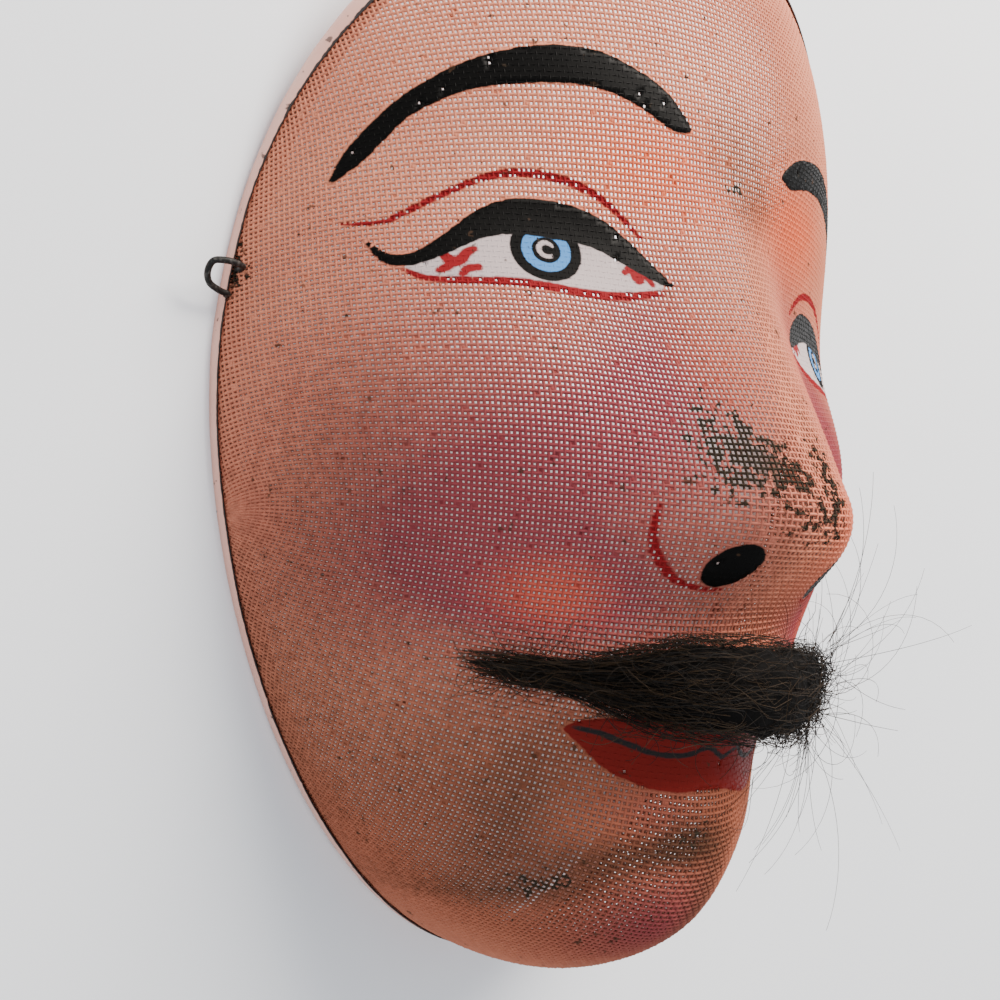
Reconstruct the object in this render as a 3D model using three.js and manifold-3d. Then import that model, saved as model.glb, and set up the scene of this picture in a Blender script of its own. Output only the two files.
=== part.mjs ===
// Wire mesh mask of a gentleman with a moustache, lying face up on its bound edge.
// Millimetres. +Z out of the face, +Y towards the forehead, +X towards the mask's own left side.
import * as THREE from "three";
import { ParametricGeometry } from "three/addons/geometries/ParametricGeometry.js";
import { mergeVertices } from "three/addons/utils/BufferGeometryUtils.js";
import Module from "manifold-3d";

const wasm = await Module();
wasm.setup();

// Outline in plan: two half super-ellipses that meet on the widest line, where y is 0.
const HALF_WIDTH = 81;
const FOREHEAD_REACH = 101;
const CHIN_REACH = 114;
const FOREHEAD_SQUARENESS = 2.2; // 2 is an ellipse, more is fuller
const CHIN_SQUARENESS = 1.64; // less is more pointed
const CHIN_ROUNDING = 0.1; // rounds the point of the chin over this share of its reach, each way

// The edge lies flat along both sides and lifts towards the forehead and the chin.
const FOREHEAD_LIFT = 24;
const FOREHEAD_LIFT_START = 8;
const FOREHEAD_LIFT_POWER = 2.2;
const CHIN_LIFT = 2;
const CHIN_LIFT_START = 40;
const CHIN_LIFT_POWER = 2;

// The plain bowl of the face, before its features.
const BOWL_DEPTH = 47;
const BOWL_CHINWARD = 0.23; // how much deeper each 100 mm towards the chin
const BOWL_ENDS = 0.4; // how much deeper both ends are, by the square of the distance
const BOWL_POWER = 2.2;
const WALL_STEEPNESS = { temple: 0.78, forehead: 0.96, chin: 0.43 }; // less is steeper at the edge
const FEATURE_MARGIN = 0.25; // the features fade out over this share of the outline's radius

// The nose: a ridge that grows from its root to its tip and falls away under it.
const NOSE = {
  height: 20.5,
  rootY: 43.5,
  tipY: -12.5,
  baseY: -40.5,
  rootWidth: 8,
  tipWidth: 16,
  rise: 1.4,
  widestAt: 1.2, // stops widening at this share of the way from its root to its tip
  fullness: 2.4, // 2 is a bell, more is fuller with steeper sides
};

// Soft swells and hollows: centre, reach along x and y, and height. A side one is made left and right.
const SWELLS = {
  cheek: { x: 36.5, y: -8.5, reachX: 18.3, reachY: 18.3, height: 7.8 },
  eyeHollow: { x: 39, y: 24, reachX: 18.7, reachY: 14.4, height: -4.5 },
  upperLip: { x: 0, y: -55, reachX: 15.7, reachY: 18, height: 10 },
  foldUnderLip: { x: 0, y: -61.4, reachX: 25.2, reachY: 7.4, height: -5.9 },
  chin: { x: 0, y: -101, reachX: 19.4, reachY: 12.3, height: 5.6 },
};

// The sheet of woven wire: two crossing wires thick.
const SHEET = 0.9;
const RINGS = 24;
const RING_CROWDING = 1.25; // above 1 the rings crowd towards the edge
const SECTORS = 56;

// The folded strip that binds the edge.
const STRIP_THICKNESS = 0.5;
const STRIP_FRONT_LEG = 5;
const STRIP_BACK_LEG = 4;
const STRIP_FRONT_GAP = 0.3;
const STRIP_BACK_GAP = 0.5;
const STRIP_FOOT = 1.4; // from the front of the sheet at its edge down to the lowest face of the strip

// The bent wire loops for the ties, one at each temple.
const LOOP = {
  y: 6.1,
  reach: 6.1,
  halfSpan: 2.2,
  middleHeight: 4.6,
  halfHeight: 2,
  wireRadius: 0.57,
  clearance: 0.32,
  steps: 30,
  quarterSides: 2,
};
// Its course, as shares of the reach out from the edge, of the half span and of the half height.
const LOOP_COURSE = [
  [-1.07, 1, 1.3], // the upper leg's end, behind the sheet
  [-0.33, 1, 1],
  [0.5, 1, 0.8],
  [0.92, 0.65, 0.5],
  [1, -0.2, 0], // the outermost point
  [0.7, -0.85, -0.5],
  [0.25, -1.1, -0.9],
  [-0.16, -1.2, -1],
  [-0.82, -1.25, -0.95], // the lower leg's end, behind the strip
];

// The bundle of hair on the upper lip.
const HAIR = {
  halfLength: 47.5,
  y: -48.3,
  tipY: -49.8,
  halfHeight: 7.6,
  tipHalfHeight: 2,
  thickness: 9,
  tipThickness: 2.6,
  fullTo: 0.35, // share of the half length that keeps the full size
  tipRounding: 12, // more is a shorter rounding at each tip
  gap: 0.35,
  stations: 26,
  sides: 12,
};

const SLOPE_STEP = 0.2;
const SLOPE_OUTERMOST = 0.992; // the slope is read just inside the edge, where it is finite
const HALVINGS = 30; // of the range in which a run up the sheet is looked for

const MATERIALS = {
  mesh: new THREE.MeshStandardMaterial({ color: "#c98673", roughness: 0.6, metalness: 0.1 }),
  strip: new THREE.MeshStandardMaterial({ color: "#d6a294", roughness: 0.5, metalness: 0.1 }),
  wire: new THREE.MeshStandardMaterial({ color: "#33363a", roughness: 0.5, metalness: 0.7 }),
  hair: new THREE.MeshStandardMaterial({ color: "#1d1813", roughness: 0.7, metalness: 0 }),
};

const smooth = (t) => {
  const c = THREE.MathUtils.clamp(t, 0, 1);
  return c * c * (3 - 2 * c);
};

const reachAt = (y) => (y >= 0 ? FOREHEAD_REACH : CHIN_REACH);

// Share of the way from the middle to the outline: 0 in the middle, 1 on the edge.
function share(x, y) {
  const n = y >= 0 ? FOREHEAD_SQUARENESS : CHIN_SQUARENESS;
  const rounding = y >= 0 ? 0 : CHIN_ROUNDING;
  const far = Math.hypot(x, y);
  const blunt = (side) => (side * side + (rounding * far) ** 2) ** (n / 2) - (rounding * far) ** n;
  const widest = (1 + rounding ** 2) ** (n / 2) - rounding ** n;
  return (blunt(x) / (widest * HALF_WIDTH ** n) + (Math.abs(y) / reachAt(y)) ** n) ** (1 / n);
}

// The point at a share of the way out, in the direction of an angle turned from +Y towards +X.
function plan(angle, out) {
  const x = Math.sin(angle);
  const y = Math.cos(angle);
  const scale = out / share(x, y);
  return [x * scale, y * scale];
}

function edgeLift(y) {
  const up = Math.max(0, (y - FOREHEAD_LIFT_START) / (FOREHEAD_REACH - FOREHEAD_LIFT_START));
  const down = Math.max(0, (-y - CHIN_LIFT_START) / (CHIN_REACH - CHIN_LIFT_START));
  return FOREHEAD_LIFT * up ** FOREHEAD_LIFT_POWER + CHIN_LIFT * down ** CHIN_LIFT_POWER;
}

function bowl(x, y, out) {
  const across = (x / HALF_WIDTH) ** 2;
  const along = (y / reachAt(y)) ** 2;
  const end = y >= 0 ? WALL_STEEPNESS.forehead : WALL_STEEPNESS.chin;
  const steepness = THREE.MathUtils.lerp(WALL_STEEPNESS.temple, end, along / (across + along + 1e-6));
  const t = y / 100;
  const depth = BOWL_DEPTH * (1 - BOWL_CHINWARD * t + BOWL_ENDS * t * t);
  return depth * Math.max(0, 1 - out ** BOWL_POWER) ** steepness;
}

function nose(x, y) {
  const grown = Math.max(0, (NOSE.rootY - y) / (NOSE.rootY - NOSE.tipY));
  const left = 1 - Math.max(0, (NOSE.tipY - y) / (NOSE.tipY - NOSE.baseY));
  const width = THREE.MathUtils.lerp(NOSE.rootWidth, NOSE.tipWidth, Math.min(grown, NOSE.widestAt));
  const section = Math.exp(-((Math.abs(x) / width) ** NOSE.fullness) / 2);
  return NOSE.height * grown ** NOSE.rise * smooth(left) * section;
}

function swells(x, y) {
  let sum = 0;
  for (const s of Object.values(SWELLS)) {
    const dx = (Math.abs(x) - s.x) / s.reachX;
    const dy = (y - s.y) / s.reachY;
    sum += s.height * Math.exp(-(dx * dx + dy * dy) / 2);
  }
  return sum;
}

// Height of the front of the sheet over the widest part of its edge.
function faceHeight(x, y) {
  const out = Math.min(1, share(x, y));
  const fade = smooth((1 - out) / FEATURE_MARGIN);
  return bowl(x, y, out) + (nose(x, y) + swells(x, y)) * fade + edgeLift(y);
}

function facePoint(angle, out) {
  const [x, y] = plan(angle, out);
  return new THREE.Vector3(x, y, faceHeight(x, y));
}

function faceNormal(x, y) {
  const slopeX = (faceHeight(x + SLOPE_STEP, y) - faceHeight(x - SLOPE_STEP, y)) / (2 * SLOPE_STEP);
  const slopeY = (faceHeight(x, y + SLOPE_STEP) - faceHeight(x, y - SLOPE_STEP)) / (2 * SLOPE_STEP);
  return new THREE.Vector3(-slopeX, -slopeY, 1).normalize();
}

// A point standing off the front of the sheet by a distance along its normal.
function offFace(angle, out, offset) {
  const [x, y] = plan(angle, Math.min(out, SLOPE_OUTERMOST));
  return facePoint(angle, out).addScaledVector(faceNormal(x, y), offset);
}

// The share of the way out at which the sheet is a given run up from its edge.
function shareAtRun(angle, run) {
  const edge = facePoint(angle, 1);
  let [low, high] = [0.5, 1];
  for (let i = 0; i < HALVINGS; i += 1) {
    const middle = (low + high) / 2;
    if (facePoint(angle, middle).distanceTo(edge) > run) low = middle;
    else high = middle;
  }
  return (low + high) / 2;
}

// Merges shared vertices and drops the triangles that collapse at a pole.
function closed(geometry) {
  geometry.deleteAttribute("normal");
  geometry.deleteAttribute("uv");
  const merged = mergeVertices(geometry, 1e-4);
  const kept = [];
  for (let i = 0; i < merged.index.count; i += 3) {
    const [a, b, c] = [0, 1, 2].map((k) => merged.index.getX(i + k));
    if (a !== b && b !== c && c !== a) kept.push(a, b, c);
  }
  merged.setIndex(kept);
  merged.computeVertexNormals();
  return merged;
}

// The face: one surface from the pole on its back, round the edge, to the pole on its front.
function meshFace() {
  const rows = 2 * RINGS + 1;
  const at = (u, v, target) => {
    const row = Math.round(v * rows);
    const back = row <= RINGS;
    const t = (back ? row : rows - row) / RINGS;
    const out = 1 - (1 - t) ** RING_CROWDING;
    target.copy(offFace(-u * 2 * Math.PI, out, back ? -SHEET : 0));
    if (out === 0) target.setX(0).setY(0);
  };
  return closed(new ParametricGeometry(at, SECTORS, rows));
}

// The strip's section, as pairs: the run up the sheet from its edge, and the stand-off from its front.
function stripSection() {
  const frontIn = STRIP_FRONT_GAP;
  const frontOut = STRIP_FRONT_GAP + STRIP_THICKNESS;
  const backIn = -SHEET - STRIP_BACK_GAP;
  const backOut = backIn - STRIP_THICKNESS;
  const front = [STRIP_FRONT_LEG, STRIP_FRONT_LEG / 2, 0];
  const back = [0, STRIP_BACK_LEG / 2, STRIP_BACK_LEG];
  return [
    ...front.map((run) => [run, frontIn]),
    [STRIP_THICKNESS - STRIP_FOOT, frontIn],
    [STRIP_THICKNESS - STRIP_FOOT, backIn],
    ...back.map((run) => [run, backIn]),
    ...back.reverse().map((run) => [run, backOut]),
    [-STRIP_FOOT, backOut],
    [-STRIP_FOOT, frontOut],
    ...front.reverse().map((run) => [run, frontOut]),
  ];
}

// The legs follow the sheet, and the foot hangs straight down, so that it lies flat on a table.
function stripPoint(angle, run, offset) {
  if (run >= 0) return offFace(angle, shareAtRun(angle, run), offset);
  return offFace(angle, 1, offset).setZ(facePoint(angle, 1).z + run);
}

function rimStrip() {
  const section = stripSection();
  const at = (u, v, target) => {
    const [run, offset] = section[Math.round(v * section.length) % section.length];
    target.copy(stripPoint(-u * 2 * Math.PI, run, offset));
  };
  return closed(new ParametricGeometry(at, SECTORS, section.length));
}

// The loop's middle line: out through the sheet, round, and back in through the strip.
// side is -1 for the mask's right temple and 1 for its left.
function loopLine(side) {
  const widthThere = 1 - (LOOP.y / FOREHEAD_REACH) ** FOREHEAD_SQUARENESS;
  const edgeX = HALF_WIDTH * widthThere ** (1 / FOREHEAD_SQUARENESS);
  const points = LOOP_COURSE.map(([out, along, up]) => {
    const x = side * (edgeX + out * LOOP.reach);
    return new THREE.Vector3(x, LOOP.y + along * LOOP.halfSpan, LOOP.middleHeight + up * LOOP.halfHeight);
  });
  return new THREE.CatmullRomCurve3(points);
}

function loopWire(side, radius) {
  const section = new THREE.Shape().absarc(0, 0, radius, 0, 2 * Math.PI);
  const geometry = new THREE.ExtrudeGeometry(section, {
    steps: LOOP.steps,
    curveSegments: 2 * LOOP.quarterSides,
    extrudePath: loopLine(side),
  });
  return closed(geometry);
}

// The hair lies across the upper lip, full in the middle and thin at both tips.
function moustache() {
  const at = (u, v, target) => {
    const along = 2 * u - 1;
    const taper = 1 - smooth((Math.abs(along) - HAIR.fullTo) / (1 - HAIR.fullTo));
    const close = Math.sqrt(Math.max(0, 1 - Math.abs(along) ** HAIR.tipRounding));
    const halfHeight = THREE.MathUtils.lerp(HAIR.tipHalfHeight, HAIR.halfHeight, taper) * close;
    const thickness = THREE.MathUtils.lerp(HAIR.tipThickness, HAIR.thickness, taper);
    const turn = -v * 2 * Math.PI;
    const x = along * HAIR.halfLength;
    const y = THREE.MathUtils.lerp(HAIR.tipY, HAIR.y, taper) + halfHeight * Math.cos(turn);
    const stand = HAIR.gap + (thickness / 2) * (1 + close * Math.sin(turn));
    target.set(x, y, faceHeight(x, y)).addScaledVector(faceNormal(x, y), stand);
  };
  return closed(new ParametricGeometry(at, HAIR.stations, HAIR.sides));
}

// A geometry as a solid for cutting, and back again.
function solidOf(geometry) {
  const vertProperties = geometry.attributes.position.array;
  const triVerts = new Uint32Array(geometry.index.array);
  return new wasm.Manifold(new wasm.Mesh({ numProp: 3, vertProperties, triVerts }));
}

function geometryOf(solid) {
  const { vertProperties, triVerts } = solid.getMesh();
  const geometry = new THREE.BufferGeometry();
  geometry.setAttribute("position", new THREE.BufferAttribute(new Float32Array(vertProperties), 3));
  geometry.setIndex(new THREE.BufferAttribute(new Uint32Array(triVerts), 1));
  geometry.computeVertexNormals();
  return geometry;
}

// Pierces a piece where the two loops pass through it.
function pierced(geometry) {
  const holes = [-1, 1].map((side) => solidOf(loopWire(side, LOOP.wireRadius + LOOP.clearance)));
  return geometryOf(holes.reduce((body, hole) => body.subtract(hole), solidOf(geometry)));
}

function piece(name, geometry, material) {
  const mesh = new THREE.Mesh(geometry, material);
  mesh.name = name;
  return mesh;
}

const mask = new THREE.Group();
mask.add(
  piece("wire_mesh_face", pierced(meshFace()), MATERIALS.mesh),
  piece("rim_band", pierced(rimStrip()), MATERIALS.strip),
  piece("strap_loop_right", loopWire(-1, LOOP.wireRadius), MATERIALS.wire),
  piece("strap_loop_left", loopWire(1, LOOP.wireRadius), MATERIALS.wire),
  piece("moustache", moustache(), MATERIALS.hair),
);

// The origin is under the middle of the whole mask, on the table.
const bounds = new THREE.Box3().setFromObject(mask);
const middle = bounds.getCenter(new THREE.Vector3());
mask.position.set(0, -middle.y, -bounds.min.z);

export default mask;
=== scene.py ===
"""A wire mesh mask of a gentleman with a moustache, lying face up on a pale table.

Lengths on the form are in millimetres, measured from the mask's widest line: x towards its own left
temple, y towards the forehead, z out of the face. Every finished mesh is in metres, in the frame.
"""

import logging
import math
from dataclasses import dataclass, field
from enum import Enum
from functools import cached_property

import bmesh
import bpy
import numpy as np
from mathutils import Matrix, Vector


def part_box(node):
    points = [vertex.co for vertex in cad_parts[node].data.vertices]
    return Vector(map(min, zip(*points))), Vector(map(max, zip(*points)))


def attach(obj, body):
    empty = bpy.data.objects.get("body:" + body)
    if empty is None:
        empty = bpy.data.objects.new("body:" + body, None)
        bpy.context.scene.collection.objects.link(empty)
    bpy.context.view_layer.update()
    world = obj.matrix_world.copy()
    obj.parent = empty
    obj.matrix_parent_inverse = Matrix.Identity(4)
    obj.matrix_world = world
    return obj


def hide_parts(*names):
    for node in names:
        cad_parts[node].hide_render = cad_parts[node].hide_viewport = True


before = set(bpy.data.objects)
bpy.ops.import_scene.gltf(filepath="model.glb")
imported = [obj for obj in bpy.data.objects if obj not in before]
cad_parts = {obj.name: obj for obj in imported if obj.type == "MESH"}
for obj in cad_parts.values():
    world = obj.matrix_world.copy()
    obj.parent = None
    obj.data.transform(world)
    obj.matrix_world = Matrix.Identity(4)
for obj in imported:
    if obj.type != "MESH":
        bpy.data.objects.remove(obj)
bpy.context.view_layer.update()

MM = 0.001
SEED = 1880
# Added to what is divided by, so that it is never 0.
TINY = 1e-9
SMALL = 1e-6
# Distances in form millimetres, beyond which a field says no more than that it is far outside or deep inside.
FAR = 99.0
DEEP = -9.0
log = logging.getLogger("mask")


def smooth(t: np.ndarray) -> np.ndarray:
    """Eases from 0 to 1 as t goes from 0 to 1, and stays there outside."""
    c = np.clip(t, 0, 1)
    return c * c * (3 - 2 * c)


def linear(hex_colour: str) -> tuple[float, float, float, float]:
    """Turns an sRGB hex colour into linear red, green, blue and an alpha of 1."""
    parts = [int(hex_colour[i : i + 2], 16) / 255 for i in (1, 3, 5)]
    return (*[c / 12.92 if c <= 0.04045 else ((c + 0.055) / 1.055) ** 2.4 for c in parts], 1.0)


def add(tree: bpy.types.NodeTree, kind: str, inputs: dict, **settings) -> bpy.types.Node:
    """Adds a node to a shader.

    Args:
        tree: the material's node tree.
        kind: the node's type name, without its ShaderNode prefix.
        inputs: socket name or number to a value, or to an output socket to link.
        settings: properties of the node itself.

    Returns:
        The new node.
    """
    node = tree.nodes.new("ShaderNode" + kind)
    for name, value in settings.items():
        setattr(node, name, value)
    for key, value in inputs.items():
        if isinstance(value, bpy.types.NodeSocket):
            tree.links.new(value, node.inputs[key])
        else:
            node.inputs[key].default_value = value
    return node


@dataclass(frozen=True)
class Swell:
    """A soft swell or hollow of the face, made left and right when it is off the middle."""

    x: float
    y: float
    reach_x: float
    reach_y: float
    height: float


@dataclass(frozen=True)
class FaceForm:
    """The shape that the wire sheet was pressed over."""

    half_width: float = 81
    forehead_reach: float = 101
    chin_reach: float = 114
    forehead_squareness: float = 2.2
    chin_squareness: float = 1.64
    chin_rounding: float = 0.1
    forehead_lift: float = 24
    forehead_lift_start: float = 8
    forehead_lift_power: float = 2.2
    chin_lift: float = 2
    chin_lift_start: float = 40
    bowl_depth: float = 47
    bowl_span: float = 100
    bowl_chinward: float = 0.23
    bowl_ends: float = 0.4
    bowl_power: float = 2.2
    temple_steepness: float = 0.78
    forehead_steepness: float = 0.96
    chin_steepness: float = 0.43
    feature_margin: float = 0.25
    nose_height: float = 20.5
    nose_root_y: float = 43.5
    nose_tip_y: float = -12.5
    nose_base_y: float = -40.5
    nose_root_width: float = 8
    nose_tip_width: float = 16
    nose_widest_at: float = 1.2
    nose_rise: float = 1.4
    nose_fullness: float = 2.4
    swells: tuple[Swell, ...] = (
        Swell(36.5, -8.5, 18.3, 18.3, 7.8),
        Swell(39, 24, 18.7, 14.4, -4.5),
        Swell(0, -55, 15.7, 18, 10),
        Swell(0, -61.4, 25.2, 7.4, -5.9),
        Swell(0, -101, 19.4, 12.3, 5.6),
    )
    sheet: float = 0.9
    strip_foot: float = 1.4

    def reach(self, y: np.ndarray) -> np.ndarray:
        """How far the outline goes from the widest line, at the end that y is on."""
        return np.where(y >= 0, self.forehead_reach, self.chin_reach)

    def share(self, x: np.ndarray, y: np.ndarray) -> np.ndarray:
        """Measures how near the outline points lie.

        Args:
            x: the points' x.
            y: the points' y.

        Returns:
            The share of the way from the middle to the outline, which is 1 on the edge.
        """
        n = np.where(y >= 0, self.forehead_squareness, self.chin_squareness)
        r = np.where(y >= 0, 0.0, self.chin_rounding)
        far = np.hypot(x, y)
        blunt = (x * x + (r * far) ** 2) ** (n / 2) - (r * far) ** n
        widest = (1 + r * r) ** (n / 2) - r**n
        across = np.maximum(blunt, 0) / (widest * self.half_width**n)
        return (across + (np.abs(y) / self.reach(y)) ** n) ** (1 / n)

    def edge_lift(self, y: np.ndarray) -> np.ndarray:
        """Works out how the edge curves up from the table towards its ends.

        Args:
            y: places along the face.

        Returns:
            How far the edge stands off the table there.
        """
        up = np.maximum(0, (y - self.forehead_lift_start) / (self.forehead_reach - self.forehead_lift_start))
        down = np.maximum(0, (-y - self.chin_lift_start) / (self.chin_reach - self.chin_lift_start))
        return self.forehead_lift * up**self.forehead_lift_power + self.chin_lift * down**2

    def bowl(self, x: np.ndarray, y: np.ndarray, out: np.ndarray) -> np.ndarray:
        """Works out the plain bowl without its features.

        Args:
            x: the points' x.
            y: the points' y.
            out: their share of the way to the outline.

        Returns:
            The bowl's height over its edge.
        """
        across = (x / self.half_width) ** 2
        along = (y / self.reach(y)) ** 2
        end = np.where(y >= 0, self.forehead_steepness, self.chin_steepness)
        steepness = self.temple_steepness + (end - self.temple_steepness) * along / (across + along + SMALL)
        t = y / self.bowl_span
        depth = self.bowl_depth * (1 - self.bowl_chinward * t + self.bowl_ends * t * t)
        return depth * np.maximum(0, 1 - out**self.bowl_power) ** steepness

    def nose(self, x: np.ndarray, y: np.ndarray) -> np.ndarray:
        """Works out the nose's ridge, from its root to its tip, falling away under it.

        Args:
            x: the points' x.
            y: the points' y.

        Returns:
            How far the nose stands off the bowl.
        """
        grown = np.maximum(0, (self.nose_root_y - y) / (self.nose_root_y - self.nose_tip_y))
        left = 1 - np.maximum(0, (self.nose_tip_y - y) / (self.nose_tip_y - self.nose_base_y))
        widened = np.minimum(grown, self.nose_widest_at)
        width = self.nose_root_width + (self.nose_tip_width - self.nose_root_width) * widened
        section = np.exp(-((np.abs(x) / width) ** self.nose_fullness) / 2)
        return self.nose_height * grown**self.nose_rise * smooth(left) * section

    def height(self, x: np.ndarray, y: np.ndarray) -> np.ndarray:
        """Works out the face with its features.

        Args:
            x: the points' x.
            y: the points' y.

        Returns:
            The height of the front of the sheet over the widest part of its edge.
        """
        out = np.minimum(1, self.share(x, y))
        fade = smooth((1 - out) / self.feature_margin)
        relief = self.nose(x, y)
        for s in self.swells:
            relief = relief + s.height * np.exp(
                -(((np.abs(x) - s.x) / s.reach_x) ** 2 + ((y - s.y) / s.reach_y) ** 2) / 2
            )
        return self.bowl(x, y, out) + relief * fade + self.edge_lift(y)

    def point(self, x: np.ndarray, y: np.ndarray) -> np.ndarray:
        """Points on the front of the sheet."""
        return np.stack([x, y, self.height(x, y)], -1)

    def normal(self, x: np.ndarray, y: np.ndarray, step: float = 0.2) -> np.ndarray:
        """Works out which way the front of the sheet faces, from slopes over small steps.

        Args:
            x: the points' x.
            y: the points' y.
            step: half the length that a slope is taken over.

        Returns:
            Unit normals out of the face.
        """
        slope_x = (self.height(x + step, y) - self.height(x - step, y)) / (2 * step)
        slope_y = (self.height(x, y + step) - self.height(x, y - step)) / (2 * step)
        n = np.stack([-slope_x, -slope_y, np.ones_like(slope_x)], -1)
        return n / np.linalg.norm(n, axis=-1, keepdims=True)

    @cached_property
    def shift(self) -> np.ndarray:
        """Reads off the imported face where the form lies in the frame.

        Returns:
            The step in millimetres from the form's own origin to the frame's.
        """
        low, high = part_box("wire_mesh_face")
        middle = (low.y + high.y) / 2 / MM
        return np.array([0.0, middle + (self.chin_reach - self.forehead_reach) / 2, self.strip_foot])

    def to_frame(self, points: np.ndarray) -> np.ndarray:
        """Points of the form, in millimetres, as points of the frame, in metres."""
        return (points + self.shift) * MM

    def from_frame(self, points: np.ndarray) -> np.ndarray:
        """Points of the frame, in metres, as points of the form, in millimetres."""
        return points / MM - self.shift


@dataclass(frozen=True)
class Unrolled:
    """The sheet laid out flat from its middle: each point at its true run over the face, in its direction."""

    form: FaceForm
    directions: int = 240
    stations: int = 200
    ray_steps: int = 700
    beyond: float = 14.0

    def table(self) -> tuple[np.ndarray, float, np.ndarray]:
        """Works the face out along rays from the middle.

        Returns:
            Points by direction and run, the longest run, and each direction's run to the edge.
        """
        turn = np.linspace(0, 2 * math.pi, self.directions, endpoint=False)
        s, c = np.sin(turn), np.cos(turn)
        scale = 1 / self.form.share(s, c)
        out = 1 - (1 - np.linspace(0, 1, self.ray_steps)) ** 2
        x, y = np.outer(scale * s, out), np.outer(scale * c, out)
        ray = self.form.point(x, y)
        steps = np.linalg.norm(np.diff(ray, axis=1), axis=-1)
        run = np.concatenate([np.zeros((self.directions, 1)), np.cumsum(steps, 1)], 1)
        longest = run[:, -1].max() + self.beyond
        even = np.linspace(0, longest, self.stations)
        rows = []
        for i in range(self.directions):
            rows.append(np.stack([np.interp(even, run[i], ray[i, :, axis]) for axis in range(3)], -1))
        points = np.stack(rows)
        points[..., 2] -= np.maximum(0, even[None] - run[:, -1:])
        return np.concatenate([points, points[:1]]), float(longest), np.append(run[:, -1], run[0, -1])


@dataclass
class WireNet:
    """The crossings of the woven wires on the face.

    A woven sheet that is pressed over a form keeps the length of its wires and gives way by shearing,
    so the net is relaxed as springs along the wires with weaker ones across the openings.
    """

    form: FaceForm
    across_pitch: float = 0.92
    along_pitch: float = 1.05
    turn: float = 0.09
    shear_stiffness: float = 0.45
    middle: tuple[float, float] = (0.0, -5.0)
    half_count: tuple[int, int] = (8, 11)
    rounds: tuple[tuple[int, int], ...] = ((16, 200), (8, 120), (4, 60), (2, 16), (1, 8))
    slope_step: float = 0.4
    slopes_every: int = 4
    slope_guard: float = 1e-3
    eagerness: float = 2.4
    longest_move: float = 0.3
    spread_every: int = 5
    spread_tries: int = 2
    last_spread_tries: int = 30
    spread_share: float = 0.6
    least_opening: float = 0.3
    points_by_ray: np.ndarray = field(init=False)
    longest: float = field(init=False)
    edge_run: np.ndarray = field(init=False)
    flat: np.ndarray = field(init=False)
    front: np.ndarray = field(init=False)
    inside: np.ndarray = field(init=False)
    normals: np.ndarray = field(init=False)

    def __post_init__(self) -> None:
        """Solves the net from coarse to fine."""
        self.points_by_ray, self.longest, self.edge_run = Unrolled(self.form).table()
        flat = self.start()
        for count, (wires, steps) in enumerate(self.rounds):
            if count:
                flat = self.refined(flat)
            flat = self.relaxed(flat, wires, steps)
        self.flat = flat
        self.front = self.lifted(flat)
        self.inside = np.hypot(flat[..., 0], flat[..., 1]) < self.run_to_edge(flat)
        self.normals = self.normals_of(flat)

    def start(self) -> np.ndarray:
        """Lays out the coarse net as it is before it is pressed, straight and square.

        Returns:
            Its crossings, laid out flat.
        """
        coarse = self.rounds[0][0]
        i, j = np.meshgrid(*[np.arange(-n, n + 1) for n in self.half_count], indexing="ij")
        square = np.stack([i * coarse * self.across_pitch, j * coarse * self.along_pitch], -1)
        c, s = math.cos(self.turn), math.sin(self.turn)
        return square @ np.array([[c, s], [-s, c]]) + np.array(self.middle)

    def bearing(self, flat: np.ndarray) -> np.ndarray:
        """The place of flat points among the rays, as a fractional ray number."""
        turn = np.arctan2(flat[..., 0], flat[..., 1]) % (2 * math.pi)
        return turn / (2 * math.pi) * (len(self.points_by_ray) - 1)

    def run_to_edge(self, flat: np.ndarray) -> np.ndarray:
        """The run from the middle to the edge in each flat point's direction."""
        return np.interp(self.bearing(flat), np.arange(len(self.edge_run)), self.edge_run)

    def lifted(self, flat: np.ndarray) -> np.ndarray:
        """Puts flat points on the front of the face.

        Args:
            flat: points laid out flat.

        Returns:
            The same points on the face, in form millimetres.
        """
        rays, stations = self.points_by_ray.shape[:2]
        a = self.bearing(flat)
        i = np.clip(a.astype(int), 0, rays - 2)
        fa = (a - i)[..., None]
        run = np.hypot(flat[..., 0], flat[..., 1])
        b = np.clip(run / self.longest * (stations - 1), 0, stations - 1.001)
        j = b.astype(int)
        fb = (b - j)[..., None]
        t = self.points_by_ray
        near = t[i, j] * (1 - fa) + t[i + 1, j] * fa
        far = t[i, j + 1] * (1 - fa) + t[i + 1, j + 1] * fa
        lifted = near * (1 - fb) + far * fb
        lifted[..., 2] -= np.maximum(0, run - self.longest)
        return lifted

    def slopes(self, flat: np.ndarray) -> tuple[np.ndarray, np.ndarray]:
        """Works out how the lifted point moves with each flat direction.

        Args:
            flat: points laid out flat.

        Returns:
            The moves on the face for a flat step in x and for one in y.
        """
        step = self.slope_step
        east = (self.lifted(flat + [step, 0]) - self.lifted(flat - [step, 0])) / (2 * step)
        north = (self.lifted(flat + [0, step]) - self.lifted(flat - [0, step])) / (2 * step)
        return east, north

    def normals_of(self, flat: np.ndarray) -> np.ndarray:
        """Works out which way the face looks at flat points.

        Args:
            flat: points laid out flat.

        Returns:
            Unit normals out of the face.
        """
        east, north = self.slopes(flat)
        n = np.cross(east, north)
        return n / (np.linalg.norm(n, axis=-1, keepdims=True) + TINY)

    def refined(self, flat: np.ndarray) -> np.ndarray:
        """Adds a new wire midway between each two.

        Args:
            flat: the net's crossings, laid out flat.

        Returns:
            The finer net's crossings.
        """
        rows = np.repeat(flat, 2, axis=0)[:-1]
        rows[1::2] = (flat[1:] + flat[:-1]) / 2
        both = np.repeat(rows, 2, axis=1)[:, :-1]
        both[:, 1::2] = (rows[:, 1:] + rows[:, :-1]) / 2
        return both

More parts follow.
